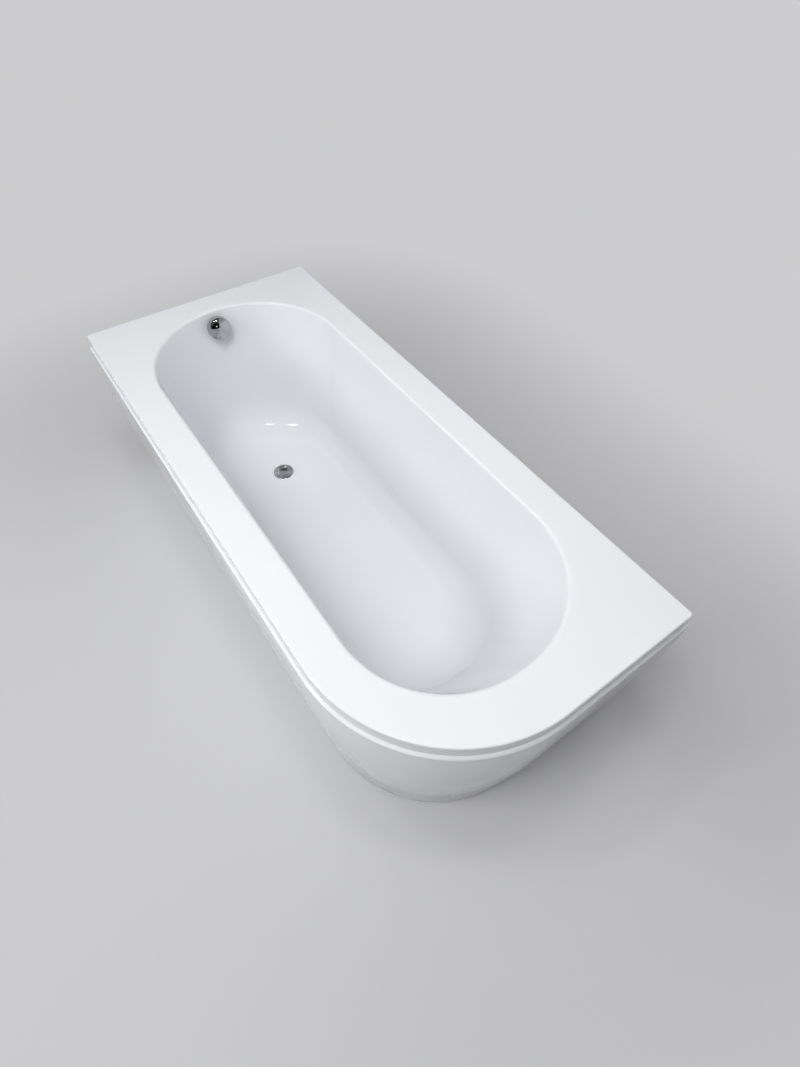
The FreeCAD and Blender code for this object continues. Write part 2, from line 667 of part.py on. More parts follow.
def waste_flange():
    """Chromed flange: dished top, plug seat, threaded throat and a spider that guides the stem."""
    edge = FLANGE_THICKNESS / 2
    dish = FLANGE_RADIUS - FLANGE_OVERHANG / 2
    steps = [(FLANGE_RADIUS, SEAL_TOP), (FLANGE_RADIUS, FLANGE_TOP - edge),
             ((FLANGE_RADIUS - edge * 0.3, FLANGE_TOP - edge * 0.3), (FLANGE_RADIUS - edge, FLANGE_TOP)),
             (dish, FLANGE_TOP), (((dish + MOUTH_RADIUS) / 2, FLANGE_TOP * 0.6), (MOUTH_RADIUS, 0)),
             (MOUTH_RADIUS, SEAT_TOP), (THROAT_RADIUS, SEAT_TOP - SEAT_WIDTH),
             (THROAT_RADIUS, -THROAT_LENGTH), (THROAT_OUTER, -THROAT_LENGTH), (THROAT_OUTER, SEAL_TOP)]
    bore = STEM_RADIUS + RUNNING_CLEARANCE
    foot = -THROAT_LENGTH
    top = foot + SPIDER_HEIGHT
    pieces = [turned(steps), tube(2 * STEM_RADIUS, bore, foot, top)]
    arm = box(Vector(1.5 * STEM_RADIUS, -1.5, foot), Vector(THROAT_RADIUS + 1, 1.5, top))
    for turn in range(3):
        pieces.append(arm.rotated(Vector(0, 0, 0), UP, 120 * turn + 60))
    return at_waste(joined(pieces))


def popup_plug():
    """Chromed plug with a dished top, a boss inside its sealing ring, and its guide stem."""
    foot = STEM_FOOT_Z - BASIN_FLOOR_HEIGHT
    boss = PLUG_UNDER - PLUG_BOSS
    raised = PLUG_RADIUS - 2.5
    dish = PLUG_TOP - 1.8
    steps = [(0, dish), (STEM_RADIUS, dish), ((raised * 0.6, dish + 0.3), (raised, PLUG_TOP - 0.4)),
             (raised + 0.5, PLUG_TOP), (PLUG_RADIUS - 0.6, PLUG_TOP), (PLUG_RADIUS, PLUG_TOP - 0.6),
             (PLUG_RADIUS, PLUG_UNDER), (PLUG_BOSS_RADIUS, PLUG_UNDER), (PLUG_BOSS_RADIUS, boss),
             (STEM_RADIUS, boss), (STEM_RADIUS, foot + 1), (STEM_RADIUS - 1, foot), (0, foot)]
    return at_waste(turned(steps))


def plug_seal():
    """Rubber ring under the plug."""
    return at_waste(Part.makeTorus(RING_CENTRE, PLUG_RING_RADIUS, Vector(0, 0, RING_Z)))


def waste_body():
    """Moulded waste body: screwed neck, rocker chamber, overflow socket, cable port and outlet."""
    chamber = CHAMBER_Z - BASIN_FLOOR_HEIGHT
    inlet = TRAP_INLET_Z - BASIN_FLOOR_HEIGHT
    neck = THROAT_OUTER + RUNNING_CLEARANCE
    steps = [(neck, BODY_TOP), (BODY_FLANGE_RADIUS, BODY_TOP), (BODY_FLANGE_RADIUS, BODY_TOP - BODY_FLANGE),
             (BODY_RADIUS, BODY_TOP - BODY_FLANGE), (BODY_RADIUS, chamber - UNION_LIP),
             (UNION_RADIUS, chamber - UNION_LIP), (UNION_RADIUS, inlet), (TRAP_BORE, inlet),
             (TRAP_BORE, chamber), (CHAMBER_RADIUS, chamber), (CHAMBER_RADIUS, -THROAT_LENGTH),
             (neck, -THROAT_LENGTH)]
    body = turned(steps)
    level = SOCKET_Z - BASIN_FLOOR_HEIGHT
    mouth = Vector(-BODY_RADIUS - SOCKET_DEPTH, 0, level)
    core = cylinder(CHAMBER_RADIUS, Vector(0, 0, chamber), Vector(0, 0, BODY_TOP))
    socket = cylinder(SOCKET_RADIUS, mouth, Vector(0, 0, level)).cut(core)
    side = Vector(0, -CABLE_OFFSET, 0)
    port = cylinder(CABLE_RADIUS + CABLE_PORT_WALL, mouth + side, Vector(0, 0, level) + side).cut(core)
    reach = 2 * (BODY_RADIUS + SOCKET_DEPTH)
    under = box(Vector(-reach, -reach, chamber - reach), Vector(reach, reach, chamber - UNION_LIP))
    body = joined([body, socket.cut(under), port.cut(under)])
    stop = Vector(-BODY_RADIUS, 0, level)
    inside = Vector(0, 0, level)
    body = body.cut(cylinder(OVERFLOW_PIPE_RADIUS + RUNNING_CLEARANCE, mouth, stop))
    body = body.cut(cylinder(OVERFLOW_PIPE_RADIUS - OVERFLOW_PIPE_WALL, stop, inside))
    body = body.cut(cylinder(CABLE_RADIUS + RUNNING_CLEARANCE, mouth + side, stop + side))
    body = body.cut(cylinder(CABLE_RADIUS / 2, stop + side, inside + side))
    return at_waste(body).cut(rocker_pin())


def rocker_pin():
    """Steel pin across the waste chamber, held in its wall."""
    reach = math.sqrt(BODY_RADIUS ** 2 - ROCKER_ARM ** 2) - BODY_WALL / 2
    axis = Vector(WASTE.x - ROCKER_ARM, WASTE.y, ROCKER_Z)
    return cylinder(ROCKER_PIN_RADIUS, axis - Vector(0, reach, 0), axis + Vector(0, reach, 0))


def plug_rocker():
    """Moulded bell crank on the pin: the cable pulls its tail and its arm lifts the stem."""
    axis = Vector(WASTE.x - ROCKER_ARM, WASTE.y, ROCKER_Z)
    tip = Vector(WASTE.x, WASTE.y, ROCKER_Z)
    half = ROCKER_THICKNESS / 2
    width = Vector(0, STEM_RADIUS, 0)
    hub_end = Vector(0, CABLE_OFFSET, 0)
    hub = cylinder(ROCKER_PIN_RADIUS * 2, axis - hub_end, axis + width)
    nose = cylinder(half, tip - width, tip + width)
    arm = box(axis - width - UP * half, tip + width + UP * half)
    tail_low = axis - hub_end - Vector(half / 2, 0, 0)
    tail = box(tail_low, tail_low + Vector(half, half, ROCKER_TAIL))
    bore = cylinder(ROCKER_PIN_RADIUS + RUNNING_CLEARANCE, axis - hub_end * 2, axis + hub_end * 2)
    return joined([hub, nose, arm, tail]).cut(bore)


def bent_tube(points, bend, outer, inner):
    """Round tube along straight runs joined by arcs of one radius."""
    edges = []
    start = points[0]
    for before, corner, after in zip(points, points[1:], points[2:]):
        back = (before - corner).normalize()
        ahead = (after - corner).normalize()
        half_turn = back.getAngle(ahead) / 2
        middle = (back + ahead).normalize()
        setback = bend / math.tan(half_turn)
        entry = corner + back * setback
        leave = corner + ahead * setback
        deep = corner + middle * (bend / math.sin(half_turn) - bend)
        edges += straight_edge(start, entry) + [Part.Arc(entry, deep, leave).toShape()]
        start = leave
    edges += straight_edge(start, points[-1])
    path = Part.Wire(edges)
    way = (points[1] - points[0]).normalize()

    def swept(radius):
        ring = Part.Wire([Part.makeCircle(radius, points[0], way)])
        return path.makePipeShell([ring], True, False)

    return swept(outer).cut(swept(inner)) if inner else swept(outer)


def trap_point(y, z):
    """A point in the trap's upright plane."""
    return Vector(WASTE.x, y, z)


TRAP_SPAN = 2 * TRAP_BEND_RADIUS
TRAP_OUTLET_Z = TRAP_INLET_Z + UNION_NUT_HEIGHT + TRAP_BEND_RADIUS - UNION_NUT_HEIGHT / 2


def collar(y, low, high):
    """Ring round the trap's pipe that a union nut draws up."""
    return tube(UNION_RADIUS, TRAP_PIPE_RADIUS - 0.1, low, high).translated(trap_point(y, 0))


def trap_u_bend():
    """Water-seal bend below the waste, with a collar at its inlet and a thread at its outlet."""
    low = TRAP_GROUND_GAP + TRAP_PIPE_RADIUS
    points = [trap_point(0, TRAP_INLET_Z), trap_point(0, low), trap_point(TRAP_SPAN, low),
              trap_point(TRAP_SPAN, TRAP_INLET_Z)]
    pipe = bent_tube(points, TRAP_BEND_RADIUS, TRAP_PIPE_RADIUS, TRAP_BORE)
    inlet = collar(0, TRAP_INLET_Z - UNION_LIP, TRAP_INLET_Z)
    thread = collar(TRAP_SPAN, TRAP_AXIS_Z, TRAP_INLET_Z)
    return joined([pipe, inlet, thread])


def trap_outlet():
    """Swan-neck from the bend's outlet to a plain spigot towards the long wall."""
    points = [trap_point(TRAP_SPAN, TRAP_INLET_Z), trap_point(TRAP_SPAN, TRAP_OUTLET_Z),
              trap_point(HALF_WIDTH - TRAP_WALL_MARGIN, TRAP_OUTLET_Z)]
    pipe = bent_tube(points, TRAP_BEND_RADIUS, TRAP_PIPE_RADIUS, TRAP_BORE)
    return joined([pipe, collar(TRAP_SPAN, TRAP_INLET_Z, TRAP_INLET_Z + UNION_LIP)])


def union_nut(y, way):
    """Ribbed union nut whose lip bears on a collar; way is +1 with the lip on top."""
    inner = UNION_RADIUS + RUNNING_CLEARANCE
    outer = UNION_RADIUS + UNION_NUT_WALL
    lip = TRAP_PIPE_RADIUS + RUNNING_CLEARANCE
    seat = way * UNION_LIP
    top = 2 * seat
    open_end = top - way * UNION_NUT_HEIGHT
    steps = [(inner, open_end), (outer, open_end), (outer, top), (lip, top), (lip, seat), (inner, seat)]
    nut = turned(steps)
    for degrees in range(0, 360, 45):
        angle = math.radians(degrees)
        at = Vector(outer * math.cos(angle), outer * math.sin(angle), -UNION_NUT_HEIGHT)
        nut = nut.cut(cylinder(UNION_NUT_WALL / 2, at, at + UP * 2 * UNION_NUT_HEIGHT))
    return nut.translated(trap_point(y, TRAP_INLET_Z))


# Distances along the overflow's axis, outwards through the wall (negative) and into the basin.
SEAL_FACE = -SHELL_WALL - OVERFLOW_SEAL
LAND_FACE = SEAL_FACE - OVERFLOW_WALL
CUP_BACK = LAND_FACE - OVERFLOW_DEPTH
PIPE_AXIS = LAND_FACE - OVERFLOW_DEPTH / 2
PLATE_FACE = OVERFLOW_GASKET + OVERFLOW_PLATE
LAND_RADIUS = OVERFLOW_HOLE_RADIUS + OVERFLOW_LAND
COLLAR_RADIUS = OVERFLOW_HOLE_RADIUS - OVERFLOW_COLLAR_PLAY
CUP_RADIUS = COLLAR_RADIUS + RUNNING_CLEARANCE
PIPE_START = CUP_RADIUS + OVERFLOW_WALL


def overflow_body():
    """Moulded cup behind the end wall, with a pipe socket and a cable port pointing down the wall."""
    back = CUP_BACK - OVERFLOW_WALL
    outer = CUP_RADIUS + OVERFLOW_WALL
    steps = [(0, back), (outer, back), (outer, LAND_FACE), (LAND_RADIUS, LAND_FACE),
             (LAND_RADIUS, SEAL_FACE), (CUP_RADIUS, SEAL_FACE), (CUP_RADIUS, CUP_BACK), (0, CUP_BACK)]
    cup = turned(steps)
    middle = Vector(0, 0, PIPE_AXIS)
    stop = Vector(PIPE_START, 0, PIPE_AXIS)
    mouth = stop + Vector(SOCKET_DEPTH, 0, 0)
    side = Vector(0, -CABLE_OFFSET, 0)
    core = cylinder(CUP_RADIUS, Vector(0, 0, CUP_BACK), Vector(0, 0, SEAL_FACE))
    socket = cylinder(SOCKET_RADIUS, middle, mouth).cut(core)
    port = cylinder(CABLE_RADIUS + CABLE_PORT_WALL, middle + side, mouth + side).cut(core)
    reach = 2 * (PIPE_START + SOCKET_DEPTH)
    front = box(Vector(-reach, -reach, LAND_FACE), Vector(reach, reach, LAND_FACE + reach))
    body = joined([cup, socket.cut(front), port.cut(front)])
    body = body.cut(cylinder(OVERFLOW_PIPE_RADIUS + RUNNING_CLEARANCE, stop, mouth))
    body = body.cut(cylinder(OVERFLOW_PIPE_RADIUS - OVERFLOW_PIPE_WALL, middle, stop))
    body = body.cut(cylinder(CABLE_RADIUS + RUNNING_CLEARANCE, stop + side, mouth + side))
    return at_overflow(body.cut(cylinder(CABLE_RADIUS / 2, middle + side, stop + side)))


def overflow_seal():
    """Rubber washer between the cup's land and the outside of the end wall."""
    ring = tube(LAND_RADIUS, OVERFLOW_HOLE_RADIUS + CLIP_PLAY, SEAL_FACE, 0)
    return at_overflow(ring).cut(basin_body())


def overflow_gasket():
    """Rubber washer between the face plate and the inside of the end wall."""
    ring = tube(LAND_RADIUS - OVERFLOW_GASKET, OVERFLOW_HOLE_RADIUS + CLIP_PLAY, SEAL_FACE, OVERFLOW_GASKET)
    return at_overflow(ring).common(basin_hollow())


def overflow_faceplate():
    """Chromed ring screwed through the wall into the cup, with spokes that carry the spindle's hub."""
    outer = LAND_RADIUS - OVERFLOW_GASKET
    inner = COLLAR_RADIUS - OVERFLOW_WALL
    collar_end = LAND_FACE - OVERFLOW_WALL
    steps = [(inner, collar_end), (COLLAR_RADIUS, collar_end), (COLLAR_RADIUS, OVERFLOW_GASKET),
             (outer, OVERFLOW_GASKET), (outer, PLATE_FACE - 1), (outer - 1, PLATE_FACE),
             (inner, PLATE_FACE)]
    hub = tube(SPINDLE_RADIUS + HUB_WALL, SPINDLE_RADIUS + RUNNING_CLEARANCE, LAND_FACE, PLATE_FACE)
    pieces = [turned(steps), hub]
    half = HUB_WALL / 2
    spoke = box(Vector(SPINDLE_RADIUS + half, -half, 0), Vector(inner + 1, half, PLATE_FACE))
    for turn in range(3):
        pieces.append(spoke.rotated(Vector(0, 0, 0), UP, 120 * turn + 60))
    return at_overflow(joined(pieces))


def knob_shoulder():
    """Height of the knob's edge round, where the round runs smoothly into the domed face."""
    reach = KNOB_DOME_RADIUS - KNOB_EDGE_ROUND
    edge = KNOB_RADIUS - KNOB_EDGE_ROUND
    return KNOB_PROJECTION - KNOB_DOME_RADIUS + math.sqrt(reach ** 2 - edge ** 2)


def knob_spindle():
    """Steel spindle through the hub, from the cable arm to the knob."""
    low = Vector(0, 0, PIPE_AXIS - HUB_WALL)
    high = Vector(0, 0, knob_shoulder() + KNOB_EDGE_ROUND - 2 * KNOB_WALL)
    return at_overflow(cylinder(SPINDLE_RADIUS, low, high))


def cable_arm():
    """Moulded arm on the spindle's inner end that draws the cable."""
    half = HUB_WALL / 2
    foot = Vector(0, 0, PIPE_AXIS - half)
    top = Vector(0, 0, PIPE_AXIS + half)
    tip = Vector(0, -CABLE_OFFSET, 0)
    hub = cylinder(SPINDLE_RADIUS + half, foot, top)
    nose = cylinder(half, foot + tip, top + tip)
    arm = box(foot + tip - Vector(half, 0, 0), top + Vector(half, 0, 0))
    bore = cylinder(SPINDLE_RADIUS, foot, top)
    return at_overflow(joined([hub, nose, arm]).cut(bore))


def overflow_knob():
    """Chromed turn knob: a deep round cap with a softly domed face and an inner hub."""
    shoulder = knob_shoulder()
    edge = KNOB_RADIUS - KNOB_EDGE_ROUND
    lean = math.asin(edge / (KNOB_DOME_RADIUS - KNOB_EDGE_ROUND))
    half_turn = (math.pi / 2 - lean) / 2
    on_round = (edge + KNOB_EDGE_ROUND * math.cos(half_turn),
                shoulder + KNOB_EDGE_ROUND * math.sin(half_turn))
    meet = (KNOB_DOME_RADIUS * math.sin(lean), shoulder + KNOB_EDGE_ROUND * math.cos(lean))
    low = KNOB_PROJECTION - KNOB_DOME_RADIUS
    on_dome = (KNOB_DOME_RADIUS * math.sin(lean / 2), low + KNOB_DOME_RADIUS * math.cos(lean / 2))
    inner = KNOB_EDGE_ROUND - KNOB_WALL
    inside = shoulder + inner
    skirt = KNOB_RADIUS - KNOB_WALL
    socket = inside - KNOB_WALL
    hub = SPINDLE_RADIUS + HUB_WALL
    flat = SPINDLE_RADIUS / 2
    steps = [(skirt, KNOB_WALL_GAP), (KNOB_RADIUS - 0.8, KNOB_WALL_GAP), (KNOB_RADIUS, KNOB_WALL_GAP + 0.8),
             (KNOB_RADIUS, shoulder), (on_round, meet), (on_dome, (flat, KNOB_PROJECTION)),
             (0, KNOB_PROJECTION),
             (0, socket), (SPINDLE_RADIUS, socket), (SPINDLE_RADIUS, KNOB_WALL_GAP), (hub, KNOB_WALL_GAP),
             (hub, inside), (edge, inside),
             ((edge + inner * math.sqrt(0.5), shoulder + inner * math.sqrt(0.5)), (skirt, shoulder))]
    return at_overflow(turned(steps))


def overflow_pipe():
    """Plastic pipe from the overflow cup, straight down the wall, then level to the waste body."""
    bore = OVERFLOW_PIPE_RADIUS - OVERFLOW_PIPE_WALL
    start = OVERFLOW_PLACE.multVec(Vector(PIPE_START, 0, PIPE_AXIS))
    down = OVERFLOW_PLACE.multVec(Vector(PIPE_START + 1, 0, PIPE_AXIS)) - start
    corner = start + down * ((SOCKET_Z - start.z) / down.z)
    end = Vector(WASTE.x - BODY_RADIUS, 0, SOCKET_Z)
    return bent_tube([start, corner, end], OVERFLOW_PIPE_BEND, OVERFLOW_PIPE_RADIUS, bore)


def drilled(piece, screws):
    """A batten with its screws' holes."""
    return piece.cut(group(screws))


clip_screws = [clip_screw(fixing) for fixing in clip_places()]
wall_screws = [each for x in bracket_places() for each in bracket_screws(x)]
end_reach = BATTEN_IN - BATTEN_END_GAP
back_batten_x = HALF_LENGTH - BATTEN_SETBACK
drain_batten_x = END_BATTEN_SETBACK - HALF_LENGTH

save("bath_shell", bath_shell())
save("base_board", base_board())
save("front_batten", drilled(batten(BATTEN_START, CORNER_X, -BATTEN_OUT, -BATTEN_IN), clip_screws))
save("wall_batten", drilled(batten(BATTEN_START, -BATTEN_START, BATTEN_IN, BATTEN_OUT), wall_screws))
save("drain_end_batten", batten(drain_batten_x, drain_batten_x + END_BATTEN_WIDTH, -end_reach, end_reach))
back_batten = batten(back_batten_x - BATTEN_WIDTH, back_batten_x, CORNER_Y, end_reach)
save("back_end_batten", drilled(back_batten, clip_screws))
save("apron_panel", apron_panel())
save("apron_clips", group([apron_clip(fixing) for fixing in clip_places()]))
save("clip_screws", group(clip_screws))
save("floor_brackets", group([floor_clip(fixing) for fixing in floor_clip_places()]))
save("floor_bracket_screws", group([floor_clip_screw(fixing) for fixing in floor_clip_places()]))
save("wall_brackets", group([wall_bracket(x) for x in bracket_places()]))
save("wall_bracket_screws", group(wall_screws))
for end, x in RAIL_XS.items():
    save(end + "_rail", cradle_rail(x))
    for side, way in FOOT_SIDES.items():
        foot = Vector(x, way * FOOT_Y, 0)
        save("foot_stud_" + side + "_" + end, foot_stud().translated(foot))
        save("foot_pad_" + side + "_" + end, foot_pad().translated(foot))
save("rail_screws", group([each for x in RAIL_XS.values() for each in rail_screws(x)]))
save("foot_nuts", foot_nuts())
save("waste_flange", waste_flange())
save("waste_top_seal", at_waste(tube(FLANGE_RADIUS - 2, WASTE_HOLE_RADIUS + CLIP_PLAY, 0, SEAL_TOP)))
save("waste_under_seal", at_waste(tube(FLANGE_RADIUS, WASTE_HOLE_RADIUS, BODY_TOP, -SHELL_WALL)))
save("waste_body", waste_body())
save("popup_plug", popup_plug())
save("plug_seal", plug_seal())
save("rocker_pin", rocker_pin())
save("plug_rocker", plug_rocker())
save("trap_u_bend", trap_u_bend())
save("trap_outlet", trap_outlet())
save("trap_union_nuts", group([union_nut(0, -1), union_nut(TRAP_SPAN, 1)]))
save("overflow_body", overflow_body())
save("overflow_seal", overflow_seal())
save("overflow_gasket", overflow_gasket())
save("overflow_faceplate", overflow_faceplate())
save("overflow_pipe", overflow_pipe())
save("cable_arm", cable_arm())
save("knob_spindle", knob_spindle())
save("overflow_knob", overflow_knob())
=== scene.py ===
import math

import bmesh
import bpy
from mathutils import Matrix, Vector


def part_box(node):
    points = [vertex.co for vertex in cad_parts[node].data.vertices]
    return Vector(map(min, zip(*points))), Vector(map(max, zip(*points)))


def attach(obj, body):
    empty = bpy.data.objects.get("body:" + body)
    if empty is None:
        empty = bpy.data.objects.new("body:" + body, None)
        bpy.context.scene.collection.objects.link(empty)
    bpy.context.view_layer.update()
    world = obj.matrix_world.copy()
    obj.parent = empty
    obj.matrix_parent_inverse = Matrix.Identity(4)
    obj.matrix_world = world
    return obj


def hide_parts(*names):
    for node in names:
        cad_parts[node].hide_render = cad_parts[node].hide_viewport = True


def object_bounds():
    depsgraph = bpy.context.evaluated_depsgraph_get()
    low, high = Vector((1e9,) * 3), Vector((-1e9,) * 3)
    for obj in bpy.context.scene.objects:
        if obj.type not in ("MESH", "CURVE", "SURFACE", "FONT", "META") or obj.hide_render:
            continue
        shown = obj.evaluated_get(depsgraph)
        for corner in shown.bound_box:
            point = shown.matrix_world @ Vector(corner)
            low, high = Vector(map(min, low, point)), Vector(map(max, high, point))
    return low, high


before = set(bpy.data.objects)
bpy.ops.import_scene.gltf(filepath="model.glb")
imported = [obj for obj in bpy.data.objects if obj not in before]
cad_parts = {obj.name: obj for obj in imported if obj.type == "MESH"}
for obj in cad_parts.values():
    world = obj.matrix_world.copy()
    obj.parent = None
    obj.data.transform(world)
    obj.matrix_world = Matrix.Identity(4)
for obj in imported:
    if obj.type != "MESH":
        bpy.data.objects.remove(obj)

cad_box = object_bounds()

# Bath shell
# The tub itself, drawn by vacuum from one heated sheet of white acrylic, so its inside is glossy
# and every edge is round. Its back is stiffened with chopped glass fibre in resin.

rim_length, rim_width, rim_top, rim_band = 1.700, 0.750, 0.600, 0.040
rim_round, free_corner, square_corner, sheet = 0.004, 0.375, 0.009, 0.005
rim_centre = Vector((-0.004, 0.004, 0.0))
basin_floor, drain_edge, back_edge, side_edge = 0.150, -0.762, 0.732, 0.280
free_corner_fill, lip_reach, deck_seam, floor_seam, rim_seam = 0.024, 0.007, 0.024, 0.003, 0.0015
# Each wall of the basin: its slope in degrees, and the radius of its sweep into the floor.
drain_wall, back_wall, side_wall = (10.0, 0.120), (25.0, 0.180), (6.5, 0.065)
corner_steps, square_corner_steps, rim_steps, hole_steps = 56, 8, 72, 72
rim_round_steps, lip_steps, middle_line = 6, 10, -0.00001
wall_levels = [0.576, 0.568, 0.560, 0.552, 0.544, 0.536, 0.528, 0.520, 0.500, 0.460, 0.400, 0.330]
sweep_angles = range(66, -1, -3)
waste_place, waste_hole, waste_border = Vector((-0.409961, 0, basin_floor)), 0.027, 1.12
overflow_place, overflow_hole, overflow_tilt = Vector((-0.752831, 0, 0.548)), 0.028, 10.0
drain_end, hole_trim, hole_pull, same_place = -0.7, 0.003, 0.012, 0.0001
overflow_axis = Vector((math.cos(math.radians(overflow_tilt)), 0, math.sin(math.radians(overflow_tilt))))


class Signal:
    """A value, colour or shader running through a finish. Sums written with it add their nodes."""

    def __init__(self, tree, socket=None):
        self.tree = tree
        self.socket = socket

    def node(self, kind, settings=None, inputs=None, output=0):
        """Adds a node, sets it, feeds its sockets and hands back one of its outputs."""
        made = self.tree.nodes.new(kind)
        for name, value in (settings or {}).items():
            setattr(made, name, value)
        for name, value in (inputs or {}).items():
            if isinstance(value, Signal):
                self.tree.links.new(value.socket, made.inputs[name])
            else:
                made.inputs[name].default_value = value
        return Signal(self.tree, made.outputs[output] if made.outputs else None)

    def sum(self, operation, first, second):
        """One sum of two values."""
        return self.node("ShaderNodeMath", {"operation": operation}, {0: first, 1: second})

    def __add__(self, other):
        return self.sum("ADD", self, other)

    def __radd__(self, other):
        return self.sum("ADD", other, self)

    def __sub__(self, other):
        return self.sum("SUBTRACT", self, other)

    def __rsub__(self, other):
        return self.sum("SUBTRACT", other, self)

    def __mul__(self, other):
        return self.sum("MULTIPLY", self, other)

    def __rmul__(self, other):
        return self.sum("MULTIPLY", other, self)


def new_finish(name):
    """An empty finish and the Object coordinates its patterns read."""
    material = bpy.data.materials.new(name)
    material.use_nodes = True
    material.node_tree.nodes.clear()
    bench = Signal(material.node_tree)
    return material, bench.node("ShaderNodeTexCoord", output="Object")


def grain(place, scale, detail=3.0, stretch=(1, 1, 1), turn=(0, 0, 0)):
    """A cloudy pattern, drawn out along an axis where it is stretched."""
    angles = [math.radians(angle) for angle in turn]
    laid = place.node("ShaderNodeMapping", {}, {"Vector": place, "Rotation": angles, "Scale": stretch})
    return place.node("ShaderNodeTexNoise", {}, {"Vector": laid, "Scale": scale, "Detail": detail})


def steps(value, low, high):
    """The value's range from low to high spread over 0 to 1, and held outside it."""
    inputs = {"Value": value, "From Min": low, "From Max": high}
    return value.node("ShaderNodeMapRange", {"interpolation_type": "SMOOTHSTEP"}, inputs)


def tinted(mask, dark, light):
    """One colour where the mask is 0 and another where it is 1."""
    dark = dark if isinstance(dark, Signal) else (*dark, 1)
    light = light if isinstance(light, Signal) else (*light, 1)
    return mask.node("ShaderNodeMix", {"data_type": "RGBA"}, {0: mask, 6: dark, 7: light}, 2)


def surfaced(material, colour, roughness, relief, depth, **constants):
    """Closes a finish with one shader. The relief stands up to a depth in metres."""
    bump = relief.node("ShaderNodeBump", {}, {"Strength": 1.0, "Distance": depth, "Height": relief})
    inputs = {"Base Color": colour, "Roughness": roughness, "Normal": bump}
    inputs.update({name.replace("_", " "): value for name, value in constants.items()})
    shader = colour.node("ShaderNodeBsdfPrincipled", {}, inputs)
    shader.node("ShaderNodeOutputMaterial", {}, {"Surface": shader})
    return material


def acrylic_finish():
    """Glossy white sheet: a slow drift of tone, a wiped film on the gloss, a trace of orange peel."""
    material, place = new_finish("white_acrylic")
    colour = tinted(grain(place, 2.0), (0.792, 0.809, 0.838), (0.832, 0.847, 0.872))
    film = steps(grain(place, 6.0, 2.0), 0.35, 0.75)
    return surfaced(material, colour, 0.06 + 0.03 * film, grain(place, 25.0, 0.0), 0.000002, IOR=1.49)


def glass_fibre_finish():
    """Dull resin over a mat of chopped glass strands that lie in all directions."""
    material, place = new_finish("glass_fibre")
    turns = ((12, 35, 20), (40, 70, 100), (75, -30, 160), (20, -65, 230))
    layers = [grain(place, 9.0, 2.0, (2, 40, 40), turn) for turn in turns]
    strands = layers[0]
    for layer in layers[1:]:
        strands = strands.sum("MAXIMUM", strands, layer)
    lines = steps(strands, 0.55, 0.78)
    cloud = steps(grain(place, 6.0, 4.0), 0.3, 0.7)
    resin = tinted(cloud, (0.58, 0.56, 0.50), (0.70, 0.69, 0.64))
    colour = tinted(lines * 0.6, resin, (0.80, 0.80, 0.78))
    lumps = grain(place, 55.0, 4.0)
    return surfaced(material, colour, 0.42 + 0.25 * cloud, lines * 0.5 + lumps, 0.0012)


def new_piece(name, mesh, finishes, body, nodes):
    """Makes the piece's object, rides it on its body and hides the nodes that it takes the place of."""
    data = bpy.data.meshes.new(name)
    mesh.to_mesh(data)
    mesh.free()
    piece = bpy.data.objects.new(name, data)
    bpy.context.scene.collection.objects.link(piece)
    for finish in finishes:
        data.materials.append(finish)
    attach(piece, body)
    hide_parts(*nodes)
    return piece


def shaded(piece, sharp=32.0):
    """Settles the piece's modifiers into its mesh, smooth but for edges sharper than an angle."""
    settled = bpy.data.meshes.new_from_object(piece.evaluated_get(bpy.context.evaluated_depsgraph_get()))
    piece.modifiers.clear()
    settled.name = piece.name
    piece.data = settled
    settled.shade_smooth()
    settled.set_sharp_from_angle(angle=math.radians(sharp))


def walled(piece, thickness, back_finish=0):
    """Gives a sheet its thickness, away from the side that its faces look to."""
    wall = piece.modifiers.new("wall", "SOLIDIFY")
    wall.thickness, wall.offset, wall.use_even_offset = thickness, -1, True
    wall.material_offset = back_finish


def rounded_plate(mesh, low, high, height, radii, segments):
    """A flat plate with its corners rounded: radii go round from the low corner."""
    before = set(mesh.faces)
    plate = bmesh.ops.create_grid(mesh, x_segments=1, y_segments=1, size=0.5)["verts"]
    bmesh.ops.scale(mesh, vec=(high[0] - low[0], high[1] - low[1], 1), verts=plate)
    middle = Vector(((low[0] + high[0]) / 2, (low[1] + high[1]) / 2, height))
    bmesh.ops.translate(mesh, vec=middle, verts=plate)
    corners = [(low[0], low[1]), (high[0], low[1]), (high[0], high[1]), (low[0], high[1])]
    at_corner = [min(plate, key=lambda vert: (vert.co.xy - Vector(corner)).length) for corner in corners]
    for vert, radius, count in zip(at_corner, radii, segments):
        bmesh.ops.bevel(mesh, geom=[vert], offset=radius, offset_type="OFFSET", affect="VERTICES",
                        segments=count, profile=0.5, material=-1, clamp_overlap=False)
    return max(set(mesh.faces) - before, key=lambda face: face.calc_area())


def drawn(mesh, edges):
    """Draws out a ring of edges and hands back its new verts and edges, still in the same place."""
    grown = bmesh.ops.extrude_edge_only(mesh, edges=edges)["geom"]
    verts = [each for each in grown if isinstance(each, bmesh.types.BMVert)]
    fresh = set(verts)
    ring = [each for each in grown if isinstance(each, bmesh.types.BMEdge) and set(each.verts) <= fresh]
    return verts, ring


def wall_inset(height, wall):
    """How far a wall of the basin stands in from its edge: a straight slope, then the sweep below."""
    slope, sweep = math.radians(wall[0]), wall[1]
    arc_height = basin_floor + sweep
    start = (rim_top - arc_height + sweep * math.sin(slope)) * math.tan(slope) + sweep * math.cos(slope)
    if height < arc_height - sweep * math.sin(slope):
        return start - math.sqrt(max(sweep ** 2 - (arc_height - height) ** 2, 0))
    return (rim_top - height) * math.tan(slope)


